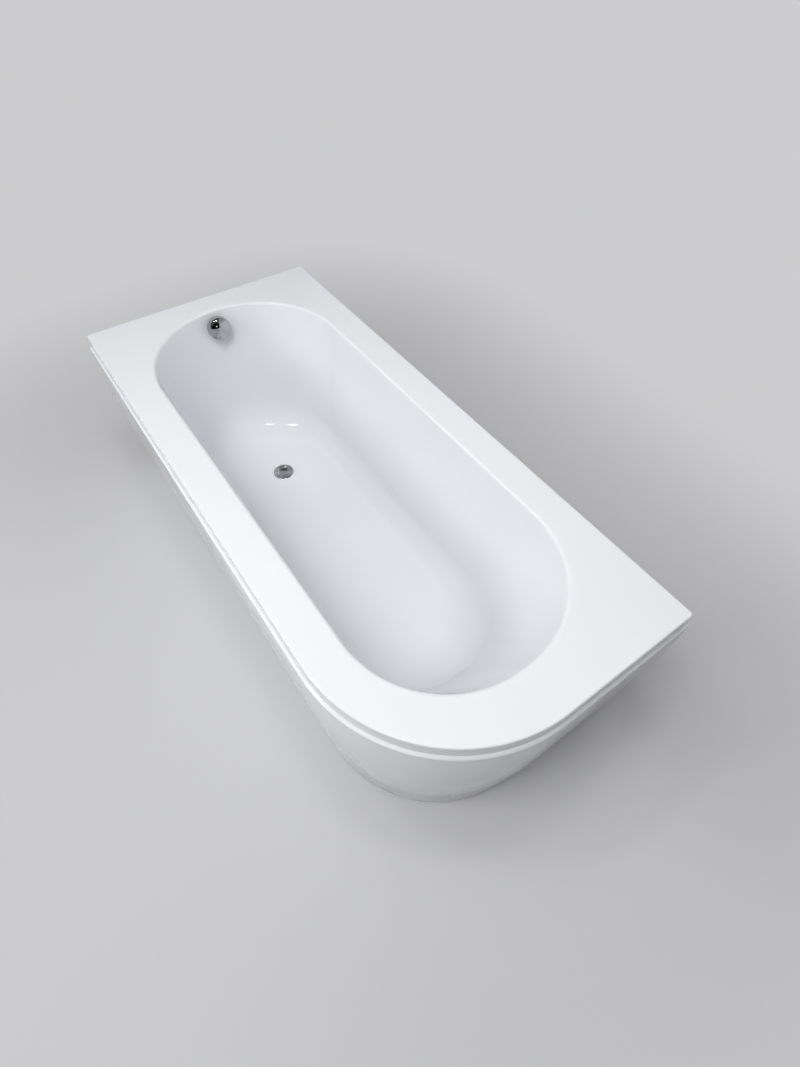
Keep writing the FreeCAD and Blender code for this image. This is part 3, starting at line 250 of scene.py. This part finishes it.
def basin_plan(height, grow=0.0):
    """Centre and radius of the basin's rounds at a height: drain end, square corner, free corner."""
    low = drain_edge + wall_inset(height, drain_wall)
    high = back_edge - wall_inset(height, back_wall)
    half = side_edge - wall_inset(height, side_wall)
    free = half - free_corner_fill
    return [(Vector((low + half, 0, height)), half + grow),
            (Vector((high - half, 0, height)), half + grow),
            (Vector((high - free, free - half, height)), free + grow)]


def reshaped(mesh, verts, old, new):
    """Moves a ring of the basin from one plan to the next, round by round."""
    rounds = [[], [], []]
    for vert in verts:
        back_half = 1 if vert.co.y > middle_line else 2
        rounds[0 if vert.co.x < 0 else back_half].append(vert)
    for group, (centre, radius), (next_centre, next_radius) in zip(rounds, old, new):
        size = next_radius / radius
        bmesh.ops.scale(mesh, vec=(size, size, 1), space=Matrix.Translation(-centre), verts=group)
        bmesh.ops.translate(mesh, vec=next_centre - centre, verts=group)


shell = bmesh.new()
half_length, half_width = rim_length / 2, rim_width / 2
deck = rounded_plate(shell, (-half_length, -half_width), (half_length, half_width), rim_top,
                     (square_corner, free_corner, square_corner, square_corner),
                     (square_corner_steps, rim_steps, square_corner_steps, square_corner_steps))
verts = drawn(shell, list(deck.edges))[0]
bmesh.ops.translate(shell, vec=(0, 0, -rim_band), verts=verts)
bmesh.ops.bevel(shell, geom=list(deck.edges), offset=rim_round, offset_type="OFFSET", affect="EDGES",
                segments=rim_round_steps, profile=0.5, material=-1)
deck = max(shell.faces, key=lambda face: face.calc_area())
bmesh.ops.inset_region(shell, faces=[deck], thickness=rim_seam, use_even_offset=True)
bmesh.ops.delete(shell, geom=[deck], context="FACES_ONLY")

mouth = rounded_plate(shell, (drain_edge, -side_edge), (back_edge, side_edge), rim_top,
                      (side_edge, side_edge - free_corner_fill, side_edge, side_edge), (corner_steps,) * 4)
mouth_verts = list(mouth.verts)
bmesh.ops.delete(shell, geom=[mouth], context="FACES_ONLY")
bmesh.ops.remove_doubles(shell, verts=mouth_verts, dist=same_place)
mouth_edges = [edge for edge in shell.edges if edge.is_wire]

verts = drawn(shell, mouth_edges)[0]
reshaped(shell, verts, basin_plan(rim_top), basin_plan(rim_top, deck_seam))
sweep_levels = [basin_floor + back_wall[1] * (1 - math.cos(math.radians(angle))) for angle in sweep_angles]
ring, plan = mouth_edges, basin_plan(rim_top)
for level in wall_levels + sweep_levels:
    verts, ring = drawn(shell, ring)
    reshaped(shell, verts, plan, basin_plan(level))
    plan = basin_plan(level)
verts, floor_ring = drawn(shell, ring)
reshaped(shell, verts, plan, basin_plan(basin_floor, -floor_seam))

hole = bmesh.ops.create_circle(shell, segments=hole_steps, radius=waste_hole)["verts"]
bmesh.ops.translate(shell, vec=waste_place, verts=hole)
hole_edges = [edge for edge in shell.edges if edge.is_wire]
verts, hole_ring = drawn(shell, hole_edges)
bmesh.ops.scale(shell, vec=(waste_border, waste_border, 1), space=Matrix.Translation(-waste_place),
                verts=verts)
bmesh.ops.triangle_fill(shell, use_beauty=True, edges=floor_ring + hole_ring)
bmesh.ops.bevel(shell, geom=mouth_edges, offset=lip_reach, offset_type="OFFSET", affect="EDGES",
                segments=lip_steps, profile=0.5, material=-1)
deck_ring = [edge for edge in shell.edges if len(edge.link_faces) == 1
             and min(vert.co.z for vert in edge.verts) > rim_top - same_place]
bmesh.ops.triangle_fill(shell, use_beauty=True, edges=deck_ring)


def off_axis(point):
    """The part of a point's place that stands square to the overflow's axis."""
    away = point - overflow_place
    return away - overflow_axis * away.dot(overflow_axis)


near = [face for face in shell.faces if face.calc_center_median().x < drain_end
        and off_axis(face.calc_center_median()).length < overflow_hole - hole_trim]
bmesh.ops.delete(shell, geom=near, context="FACES")
for vert in shell.verts:
    out = off_axis(vert.co)
    if vert.is_boundary and vert.co.x < drain_end and out.length < overflow_hole + hole_pull:
        vert.co += out * (overflow_hole / out.length - 1)
bmesh.ops.recalc_face_normals(shell, faces=list(shell.faces))
if max(shell.faces, key=lambda face: face.calc_center_median().z).normal.z < 0:
    bmesh.ops.reverse_faces(shell, faces=list(shell.faces))
bmesh.ops.translate(shell, vec=rim_centre, verts=list(shell.verts))
acrylic = acrylic_finish()
piece = new_piece("tub", shell, [acrylic, glass_fibre_finish()], "bath", ["bath_shell"])
walled(piece, sheet, back_finish=1)
shaded(piece)

# Battens
# Four lengths of planed softwood bedded in the resin under the rim. They stiffen the rim, and the
# apron's clips and the wall brackets screw into them.


def softwood_finish(name, turn):
    """Planed pine: pale early wood, darker late wood drawn out along the length, and fine pores."""
    material, place = new_finish(name)
    wander = grain(place, 3.0, 2.0, (1, 4, 4), turn)
    rings = grain(place, 9.0, 3.0, (0.35, 14, 14), turn) + 0.25 * wander
    late = steps(rings, 0.52, 0.74)
    pores = steps(grain(place, 60.0, 2.0, (0.12, 9, 9), turn), 0.5, 0.8)
    pale = tinted(wander, (0.56, 0.385, 0.205), (0.66, 0.475, 0.275))
    colour = tinted(late, pale, (0.40, 0.225, 0.095))
    return surfaced(material, colour, 0.58 + 0.15 * pores, late * 0.5 - pores * 0.4, 0.0004)


def dressed(finish, *nodes):
    """Gives the part's own solids a finish."""
    for node in nodes:
        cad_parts[node].data.materials.clear()
        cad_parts[node].data.materials.append(finish)


dressed(softwood_finish("softwood_long", (0, 0, 0)), "front_batten", "wall_batten")
dressed(softwood_finish("softwood_cross", (0, 0, 90)), "drain_end_batten", "back_end_batten")

# Base board
# A sheet of resin-bonded particle board under the basin floor. It spreads the bather's weight, and
# the rails screw up into it.


def cell_tones(place, scale):
    """A pattern of cells, each with a tone of its own."""
    cells = {"Vector": place, "Scale": scale}
    colours = place.node("ShaderNodeTexVoronoi", {"feature": "F1"}, cells, "Color")
    return place.node("ShaderNodeSeparateColor", {}, {"Color": colours})


def particle_board_finish():
    """Pressed wood chips of several tones, with fine dust between them."""
    material, place = new_finish("particle_board")
    tone = cell_tones(place, 260.0)
    dust = grain(place, 500.0, 2.0)
    chip = tinted(tone, (0.34, 0.225, 0.125), (0.62, 0.465, 0.30))
    colour = tinted(steps(dust, 0.45, 0.75) * 0.5, chip, (0.50, 0.36, 0.22))
    return surfaced(material, colour, 0.78 + 0.12 * dust, tone + dust, 0.0004)


dressed(particle_board_finish(), "base_board")

# Cradle rails
# Two channels folded from zinc-coated steel strip, screwed across the underside of the board. The
# feet screw through their ends.


def zinc_finish():
    """Zinc coating: patches of crystal, some brighter than others, dulled by handling."""
    material, place = new_finish("zinc_steel")
    patch = cell_tones(place, 95.0)
    handled = steps(grain(place, 14.0, 4.0), 0.35, 0.7)
    colour = tinted(patch, (0.50, 0.515, 0.53), (0.66, 0.67, 0.68))
    roughness = 0.24 + 0.14 * patch + 0.14 * handled
    return surfaced(material, colour, roughness, grain(place, 120.0, 3.0), 0.0001, Metallic=1.0)


def screw_finish():
    """Bright zinc plate on turned steel, with fine lathe lines and a little grime in scattered patches."""
    material, place = new_finish("screw_steel")
    lines = grain(place, 300.0, 2.0, (1, 1, 8))
    grime = steps(grain(place, 90.0, 3.0), 0.55, 0.8)
    colour = tinted(grime, (0.60, 0.60, 0.575), (0.30, 0.285, 0.25))
    return surfaced(material, colour, 0.26 + 0.25 * grime + 0.08 * lines, lines, 0.00006, Metallic=1.0)


zinc, screw_steel = zinc_finish(), screw_finish()
dressed(zinc, "drain_rail", "back_rail")
dressed(screw_steel, "rail_screws")

# Levelling feet
# Four zinc-plated studs with a rolled thread, locked to the rails by a nut above and one below. Each
# stands in a moulded black plastic pad and winds out to level the bath.

feet = ("front_drain", "wall_drain", "front_back", "wall_back")
stud_radius, thread_depth, thread_pitch, thread_steps = 0.006, 0.0008, 0.00175, 20
# One turn of the thread: shares of the pitch, with 0 at the root and 1 on the crest.
thread_profile = ((0.0, 0), (0.1, 0), (0.45, 1), (0.65, 1), (1.0, 0))
thread_weld, cut_reach, spare_turns, thread_sharp = 0.000005, 0.00001, 3, 25.0


def moulded_finish(name, dark, light, rough):
    """Injection-moulded plastic: even colour, a slow cloud of flow and a fine spark-eroded texture."""
    material, place = new_finish(name)
    flow = steps(grain(place, 12.0, 3.0), 0.3, 0.7)
    texture = grain(place, 900.0, 2.0)
    roughness = rough + 0.12 * texture + 0.06 * flow
    return surfaced(material, tinted(flow, dark, light), roughness, texture, 0.00005)


def threaded(low, high):
    """A stud from one height to another: one turn of thread profile wound up the upright axis."""
    stud = bmesh.new()
    root = stud_radius - thread_depth
    turns = int((high - low) / thread_pitch) + spare_turns
    verts = [stud.verts.new((root + thread_depth * rise, 0, low - thread_pitch + thread_pitch * share))
             for share, rise in thread_profile]
    edges = [stud.edges.new(pair) for pair in zip(verts, verts[1:])]
    bmesh.ops.spin(stud, geom=verts + edges, cent=(0, 0, 0), axis=(0, 0, 1), angle=math.tau * turns,
                   dvec=(0, 0, thread_pitch / thread_steps), steps=thread_steps * turns)
    bmesh.ops.remove_doubles(stud, verts=list(stud.verts), dist=thread_weld)
    for height, side in ((low, -1), (high, 1)):
        everything = list(stud.verts) + list(stud.edges) + list(stud.faces)
        bmesh.ops.bisect_plane(stud, geom=everything, plane_co=(0, 0, height), plane_no=(0, 0, side),
                               clear_outer=True)
        bmesh.ops.holes_fill(stud, edges=[edge for edge in stud.edges if edge.is_boundary
                                          and abs(edge.verts[0].co.z - height) < cut_reach])
    bmesh.ops.recalc_face_normals(stud, faces=list(stud.faces))
    return stud


black_plastic = moulded_finish("black_plastic", (0.016, 0.016, 0.017), (0.024, 0.024, 0.026), 0.42)
wound = threaded(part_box("foot_stud_front_drain")[0].z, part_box("foot_stud_front_drain")[1].z)
for foot in feet:
    node, body = "foot_stud_" + foot, "foot_" + foot
    low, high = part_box(node)
    middle = (low + high) / 2
    stud = wound.copy()
    bmesh.ops.translate(stud, vec=(middle.x, middle.y, 0), verts=list(stud.verts))
    piece = new_piece("threaded_stud_" + foot, stud, [zinc], body, [node])
    shaded(piece, thread_sharp)
    dressed(black_plastic, "foot_pad_" + foot)
wound.free()
dressed(zinc, "foot_nuts")

# Waste flange
# The chromed brass ring in the basin floor, turned on a lathe and polished. Its throat screws into
# the plastic waste body below and clamps the floor between two rubber rings.

lathe_weld, turned_sharp = 0.000002, 40.0


def dried_spots(place, scale, middle, edge):
    """1 inside scattered spots of dried water and 0 around them."""
    away = place.node("ShaderNodeTexVoronoi", {"feature": "F1"}, {"Vector": place, "Scale": scale})
    return 1 - steps(away, middle, edge)


def dulled_shade_darkened_chrome_finish():
    """Chrome plate that stands in water and soap: a little soft, with spots of lime; its grey is partly
    painted shade.
    """
    material, place = new_finish("dulled_shade_darkened_chrome")
    film = steps(grain(place, 45.0, 4.0), 0.3, 0.75)
    # Painted shade: both tones sit darker than bright plating, for the dim surroundings the drain mirrors;
    # the darker patches of film are random soap film.
    colour = tinted(film, (0.40, 0.415, 0.42), (0.34, 0.355, 0.36))
    roughness = 0.10 + 0.08 * film + 0.15 * dried_spots(place, 300.0, 0.05, 0.2)
    return surfaced(material, colour, roughness, grain(place, 80.0, 2.0), 0.00003, Metallic=1.0)


def spun(mesh, profile, count=96):
    """Turns a profile of (radius, height) points round the upright axis and closes the seam."""
    verts = [mesh.verts.new((radius, 0, height)) for radius, height in profile]
    edges = [mesh.edges.new(pair) for pair in zip(verts, verts[1:])]
    bmesh.ops.spin(mesh, geom=verts + edges, cent=(0, 0, 0), axis=(0, 0, 1), angle=math.tau,
                   steps=count, use_merge=True, use_duplicate=False)
    bmesh.ops.remove_doubles(mesh, verts=list(mesh.verts), dist=lathe_weld)
    bmesh.ops.recalc_face_normals(mesh, faces=list(mesh.faces))


def arc(centre, radius, start, end, count):
    """Points (radius, height) along a turned round, from one angle to another in degrees."""
    angles = [math.radians(start + (end - start) * step / count) for step in range(count + 1)]
    return [(centre[0] + radius * math.cos(angle), centre[1] + radius * math.sin(angle))
            for angle in angles]


dulled_shade_darkened_chrome = dulled_shade_darkened_chrome_finish()
rubber = moulded_finish("black_rubber", (0.018, 0.018, 0.019), (0.030, 0.030, 0.031), 0.68)
# Stretches of the ring's profile, as radius and height over the basin floor, from the underside
# round the outer edge and over the top into the throat.
ring_bed = (0.0238, 0.0)
ring_edge = arc((0.0337, 0.0013), 0.0013, -90, 20, 5)
ring_crown = arc((0.0312, 0.0004), 0.0030, 45, 90, 5)
ring_bead = arc((0.0285, 0.0018), 0.0016, 90, 180, 6)
plug_recess = [(0.0260, 0.0009), (0.0246, 0.0002), (0.0243, -0.0008), (0.0243, -0.0052)]
throat_lip = arc((0.0212, -0.0052), 0.0012, -60, -170, 5)
throat = [(0.0200, -0.0070), (0.0200, -0.036), (0.0217, -0.036), (0.0217, -0.0072)]
throat_neck = [(0.0225, -0.0062), (0.0238, -0.0040)]
turned = bmesh.new()
spun(turned, [ring_bed, *ring_edge, *ring_crown, *ring_bead, *plug_recess, *throat_lip, *throat,
              *throat_neck, ring_bed])
bmesh.ops.translate(turned, vec=waste_place + rim_centre, verts=list(turned.verts))
piece = new_piece("waste_ring", turned, [dulled_shade_darkened_chrome], "bath", ["waste_flange"])
shaded(piece, turned_sharp)
dressed(rubber, "waste_top_seal", "waste_under_seal")

# Waste body and trap
# White moulded pipework: the chamber under the plug, the water trap with its union nuts and the
# spigot for the house's pipe. The parts screw together over rubber rings.

white_plastic = moulded_finish("white_plastic", (0.70, 0.70, 0.69), (0.76, 0.76, 0.75), 0.36)
dressed(white_plastic, "waste_body", "trap_u_bend", "trap_outlet", "trap_union_nuts")

# Pop-up plug
# The dished chrome plug that closes the waste, pressed from brass over a guide stem. Its edge
# carries a rubber ring, and a plastic rocker on a steel pin below lifts it by the stem.

plug_radius, plug_under, boss_radius, boss_under = 0.0238, -0.0034, 0.0190, -0.0090
stem_radius, stem_chamfer = 0.0040, 0.0010
stem_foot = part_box("popup_plug")[0].z - basin_floor

# Stretches of the plug's profile, from the middle of the dish out to the edge and down the stem.
dish = [(0.0, -0.0011), (0.006, -0.0010), (0.0118, -0.0006)]
inner_ring = arc((0.0148, -0.0016), 0.0020, 120, 60, 6)
outer_ring = [(0.0166, -0.0004), *arc((0.0205, -0.0022), 0.0030, 110, 90, 4)]
plug_edge = [*arc((0.0226, -0.0004), 0.0012, 90, 0, 6), (plug_radius, plug_under)]
boss = [(boss_radius, plug_under), (boss_radius, boss_under), (stem_radius, boss_under)]
stem = [(stem_radius, stem_foot + stem_chamfer), (stem_radius - stem_chamfer, stem_foot), (0.0, stem_foot)]
turned = bmesh.new()
spun(turned, [*dish, *inner_ring, *outer_ring, *plug_edge, *boss, *stem])
bmesh.ops.translate(turned, vec=waste_place + rim_centre, verts=list(turned.verts))
piece = new_piece("dished_plug", turned, [dulled_shade_darkened_chrome], "plug", ["popup_plug"])
shaded(piece, turned_sharp)
grey_plastic = moulded_finish("grey_plastic", (0.20, 0.205, 0.215), (0.25, 0.255, 0.265), 0.44)
dressed(rubber, "plug_seal")
dressed(grey_plastic, "plug_rocker")
dressed(screw_steel, "rocker_pin")

# Overflow
# The cup behind the end wall and the pipe from it down to the waste chamber, both moulded plastic.
# A chromed faceplate inside the basin clamps the cup to the wall between two rubber rings.


def chrome_finish():
    """Bright plating: clear grey metal with faint wiping marks and a few dried water spots."""
    material, place = new_finish("chrome")
    wiped = steps(grain(place, 30.0, 4.0, (1, 3, 1)), 0.35, 0.8)
    colour = tinted(wiped, (0.50, 0.51, 0.52), (0.45, 0.46, 0.475))
    roughness = 0.035 + 0.06 * wiped + 0.12 * dried_spots(place, 420.0, 0.06, 0.16)
    return surfaced(material, colour, roughness, grain(place, 60.0, 1.0), 0.00002, Metallic=1.0)


chrome = chrome_finish()
dressed(white_plastic, "overflow_body", "overflow_pipe")
dressed(chrome, "overflow_faceplate")
dressed(rubber, "overflow_seal", "overflow_gasket")

# Overflow knob
# The chromed turn knob that works the plug. It is a hollow casting, polished and plated, pressed on
# a spindle that runs through the overflow; water drains in behind its open back.

knob_radius, knob_back, knob_front, knob_round = 0.037, 0.009, 0.042, 0.011
dome_radius, knob_wall, knob_steps = 0.072, 0.003, 128
skirt_round, skirt_start, bore_start = 0.0012, 0.0015, 0.0004


def at_overflow(mesh):
    """Lays a shape turned about the upright axis along the overflow's axis."""
    lean = Matrix.Rotation(math.radians(90 - overflow_tilt), 3, "Y")
    bmesh.ops.rotate(mesh, matrix=lean, verts=list(mesh.verts))
    bmesh.ops.translate(mesh, vec=overflow_place + rim_centre, verts=list(mesh.verts))


# The dome runs on tangent into the round of the shoulder, and the inside follows at the wall's thickness.
edge_place, edge_reach = knob_radius - knob_round, dome_radius - knob_round
shoulder = (edge_place, knob_front - dome_radius + math.sqrt(edge_reach ** 2 - edge_place ** 2))
dome_end = 90 - math.degrees(math.asin(edge_place / edge_reach))
bore, inner_round = knob_radius - knob_wall, knob_round - knob_wall
dome = arc((0.0, knob_front - dome_radius), dome_radius, 90, dome_end, 14)[:-1]
knob_edge = arc(shoulder, knob_round, dome_end, 0, 12)
skirt = arc((knob_radius - skirt_round, knob_back + skirt_round), skirt_round, 0, -90, 4)
inside = [(bore, knob_back + bore_start), (bore, shoulder[1]), *arc(shoulder, inner_round, 0, 90, 6)]
turned = bmesh.new()
spun(turned, [*dome, *knob_edge, (knob_radius, knob_back + skirt_start), *skirt, *inside,
              (0.0, shoulder[1] + inner_round)], knob_steps)
at_overflow(turned)
piece = new_piece("turn_knob", turned, [chrome], "knob", ["overflow_knob"])
shaded(piece, turned_sharp)
dressed(screw_steel, "knob_spindle")
dressed(grey_plastic, "cable_arm")

# Apron
# One vacuum-formed acrylic panel that wraps the front, the round free corner and the back end. It
# hooks up behind the rim's band on a tongue, and its foot turns in just above the floor.

apron_top, apron_proud, tongue_top, tongue_out = 0.5585, 0.008, 0.586, -0.008
knee_height, foot_out, foot_height, foot_return = 0.3785, -0.036, 0.003, 0.020
shoulder_round, knee_blend, foot_round, tongue_round, apron_wall = 0.006, 0.100, 0.003, 0.0015, 0.004
apron_weld, along_reach, trimmed_edge = 0.00001, 0.0005, 0.001


def softened(piece, width, segments=2, angle=50.0):
    """Rounds the piece's sharp edges a little, as trimming and filing leave them."""
    edge = piece.modifiers.new("softened edges", "BEVEL")
    edge.width, edge.segments = width, segments
    edge.limit_method, edge.angle_limit = "ANGLE", math.radians(angle)


skin = bmesh.new()
side_view = [(tongue_out, tongue_top), (tongue_out, apron_top), (apron_proud, apron_top),
             (apron_proud, knee_height), (foot_out, foot_height), (foot_out - foot_return, foot_height)]
line = [skin.verts.new((-half_length, -half_width - out, height)) for out, height in side_view]
ring = [skin.edges.new(pair) for pair in zip(line, line[1:])]
turn_centre = (half_length - free_corner, half_width - free_corner, 0)
verts, ring = drawn(skin, ring)
bmesh.ops.translate(skin, vec=(rim_length - free_corner, 0, 0), verts=verts)
swept = bmesh.ops.spin(skin, geom=verts + ring, cent=turn_centre, axis=(0, 0, 1), angle=math.radians(90),
                       steps=rim_steps, use_duplicate=False)["geom_last"]
ring = [each for each in swept if isinstance(each, bmesh.types.BMEdge)]
verts = drawn(skin, ring)[0]
bmesh.ops.translate(skin, vec=(0, half_width - turn_centre[1], 0), verts=verts)
bmesh.ops.remove_doubles(skin, verts=list(skin.verts), dist=apron_weld)
bmesh.ops.recalc_face_normals(skin, faces=list(skin.faces))


def along(mesh, height, out):
    """The apron's lengthwise edges at a height and a stand-off from the rim's edge."""
    found = []
    for edge in mesh.edges:
        away = []
        for vert in edge.verts:
            stand = math.hypot(max(vert.co.x - turn_centre[0], 0), min(vert.co.y - turn_centre[1], 0))
            away += [abs(vert.co.z - height), abs(stand - free_corner - out)]
        if max(away) < along_reach:
            found.append(edge)
    return found


# The apron's four rounds: stand-off, height, reach and steps.
apron_rounds = ((apron_proud, apron_top, shoulder_round, 8), (apron_proud, knee_height, knee_blend, 16),
                (foot_out, foot_height, foot_round, 4), (tongue_out, apron_top, tongue_round, 3))
for out, height, reach, count in apron_rounds:
    bmesh.ops.bevel(skin, geom=along(skin, height, out), offset=reach, offset_type="OFFSET", affect="EDGES",
                    segments=count, profile=0.5, material=-1)
bmesh.ops.recalc_face_normals(skin, faces=list(skin.faces))
if max(skin.faces, key=lambda face: -face.calc_center_median().y).normal.y > 0:
    bmesh.ops.reverse_faces(skin, faces=list(skin.faces))
bmesh.ops.translate(skin, vec=rim_centre, verts=list(skin.verts))
piece = new_piece("apron", skin, [acrylic], "bath", ["apron_panel"])
walled(piece, apron_wall)
softened(piece, trimmed_edge)
shaded(piece)

# Fixings
# Plastic clips on the battens that grip the apron's tongue, steel brackets bent from strip that hold
# its foot down and tie the rim's straight side to the building, and the screws that fix them.

dressed(white_plastic, "apron_clips")
dressed(zinc, "floor_brackets", "wall_brackets")
dressed(screw_steel, "clip_screws", "floor_bracket_screws", "wall_bracket_screws")

# Studio
# A pale matt floor that takes the shadow and fades into an even backdrop, under broad soft boxes.
# The one at the side, two ceiling panels and two small lamps are mirrored in the gloss, and a dark
# card that only gloss shows gives the chrome its dark side.

floor_reach, shadow_reach, sky_fade = 30.0, 1.5, (0.1, 0.5)
card_size, card_place, card_tone = (7.0, 3.2), Vector((3.5, -2.2, 1.9)), (0.012, 0.012, 0.012)
backdrop, sky_tone = (0.61, 0.61, 0.62), (0.12, 0.12, 0.123)
lens_length, sensor_width, view_reach = 19.526, 36.0, 100.0
camera_place, camera_turn = (0.956491, -0.508818, 1.682556), (36.7977, -1.3873, 54.5288)
footprint = (cad_box[1] - cad_box[0]) / 2


def looked_at(bench):
    """1 on rays that look at the backdrop, straight or in gloss or glass, and 0 on rays that light."""
    looks = bench.node("ShaderNodeLightPath", output="Is Camera Ray")
    for kind in ("Is Glossy Ray", "Is Transmission Ray"):
        looks = bench.sum("MAXIMUM", looks, bench.node("ShaderNodeLightPath", output=kind))
    return looks


def floor_finish():
    """Matt pale floor that takes the bath's shadow and fades out into the backdrop's even tone."""
    material, place = new_finish("pale_floor")
    colour = tinted(grain(place, 1.5), (0.60, 0.60, 0.615), (0.62, 0.62, 0.635))
    folded = place.node("ShaderNodeVectorMath", {"operation": "ABSOLUTE"}, {0: place})
    beyond = place.node("ShaderNodeVectorMath", {"operation": "SUBTRACT"}, {0: folded, 1: footprint})
    outside = place.node("ShaderNodeVectorMath", {"operation": "MAXIMUM"}, {0: beyond, 1: (0, 0, 0)})
    away = place.node("ShaderNodeVectorMath", {"operation": "LENGTH"}, {0: outside}, "Value")
    far = steps(away, 0.0, shadow_reach) * looked_at(place)
    matt = place.node("ShaderNodeBsdfDiffuse", {}, {"Color": colour})
    even = place.node("ShaderNodeEmission", {}, {"Color": (*backdrop, 1)})
    mixed = place.node("ShaderNodeMixShader", {}, {0: far, 1: matt, 2: even})
    place.node("ShaderNodeOutputMaterial", {}, {"Surface": mixed})
    return material


def studio_sheet(name, width, height, finish):
    """A flat sheet with one finish, linked to the scene on its own and not ridden on any of the bath's
    bodies.
    """
    flat = bmesh.new()
    corners = bmesh.ops.create_grid(flat, x_segments=1, y_segments=1, size=0.5)["verts"]
    bmesh.ops.scale(flat, vec=(width, height, 1), verts=corners)
    data = bpy.data.meshes.new(name)
    flat.to_mesh(data)
    flat.free()
    data.materials.append(finish)
    hung = bpy.data.objects.new(name, data)
    bpy.context.scene.collection.objects.link(hung)
    return hung


studio_sheet("floor", 2 * floor_reach, 2 * floor_reach, floor_finish())

material, place = new_finish("dark_card")
matt = place.node("ShaderNodeBsdfDiffuse", {}, {"Color": (*card_tone, 1)})
matt.node("ShaderNodeOutputMaterial", {}, {"Surface": matt})
card = studio_sheet("dark_card", *card_size, material)
card.location = card_place
card.rotation_euler = (overflow_place - card_place).to_track_quat("Z", "Y").to_euler()
card.visible_camera = card.visible_diffuse = card.visible_transmission = card.visible_shadow = False


def lamp(name, place, aim, size, power, mirrored=False):
    """A soft box hung at a place and turned to its aim. Gloss shows it only where it is mirrored."""
    light = bpy.data.lights.new(name, "AREA")
    light.shape, light.energy = "RECTANGLE", power
    light.size, light.size_y = size
    box = bpy.data.objects.new(name, light)
    box.location = place
    box.visible_camera, box.visible_glossy = False, mirrored
    box.rotation_euler = (Vector(aim) - Vector(place)).to_track_quat("-Z", "Y").to_euler()
    bpy.context.scene.collection.objects.link(box)


lamp("key soft box", (0.9, -1.4, 3.4), (0.1, 0.1, 0.4), (1.6, 1.2), 46.5)
lamp("overhead soft box", (0.3, -0.3, 2.4), (0.2, 0.0, 0.4), (1.0, 0.8), 6.8)
lamp("front soft box", (-0.9, -4.0, 2.6), (0.0, 0.0, 0.3), (3.6, 1.6), 76.0)
lamp("back soft box", (-0.6, 4.0, 1.6), (0.0, 0.0, 0.3), (3.6, 1.6), 16.0)
lamp("side soft box", (0.3, 0.95, 1.5), (0.3, 0.0, 1.2), (4.6, 1.5), 6.4, mirrored=True)
lamp("near ceiling panel", (0.35, -0.15, 3.0), (0.10, 0.16, 0.0), (0.45, 0.12), 6.0, mirrored=True)
lamp("left ceiling panel", (-0.35, -0.95, 3.0), (-0.84, -0.85, 0.0), (0.50, 0.12), 7.0, mirrored=True)
lamp("low lamp", (2.4, -0.3, 1.3), (-0.7, 0.0, 0.5), (0.32, 0.24), 0.5, mirrored=True)
lamp("high lamp", (2.2, -1.6, 2.3), (-0.7, 0.0, 0.5), (0.32, 0.24), 0.5, mirrored=True)

sky = bpy.data.worlds.new("sky")
bpy.context.scene.world = sky
sky.use_nodes = True
sky.node_tree.nodes.clear()
bench = Signal(sky.node_tree)
view = bench.node("ShaderNodeTexCoord", output="Generated")
height = view.node("ShaderNodeSeparateXYZ", {}, {"Vector": view}, "Z")
low_sky = tinted(steps(height, *sky_fade), backdrop, sky_tone)
straight = bench.node("ShaderNodeLightPath", output="Is Camera Ray")
colour = tinted(straight, tinted(looked_at(bench), sky_tone, low_sky), backdrop)
even = bench.node("ShaderNodeBackground", {}, {"Color": colour})
bench.node("ShaderNodeOutputWorld", {}, {"Surface": even})

lens = bpy.data.cameras.new("camera")
lens.lens, lens.sensor_width, lens.clip_end = lens_length, sensor_width, view_reach
camera = bpy.data.objects.new("camera", lens)
camera.location = camera_place
camera.rotation_euler = [math.radians(angle) for angle in camera_turn]
bpy.context.scene.collection.objects.link(camera)
bpy.context.scene.camera = camera
bpy.context.scene.view_settings.view_transform = "Standard"
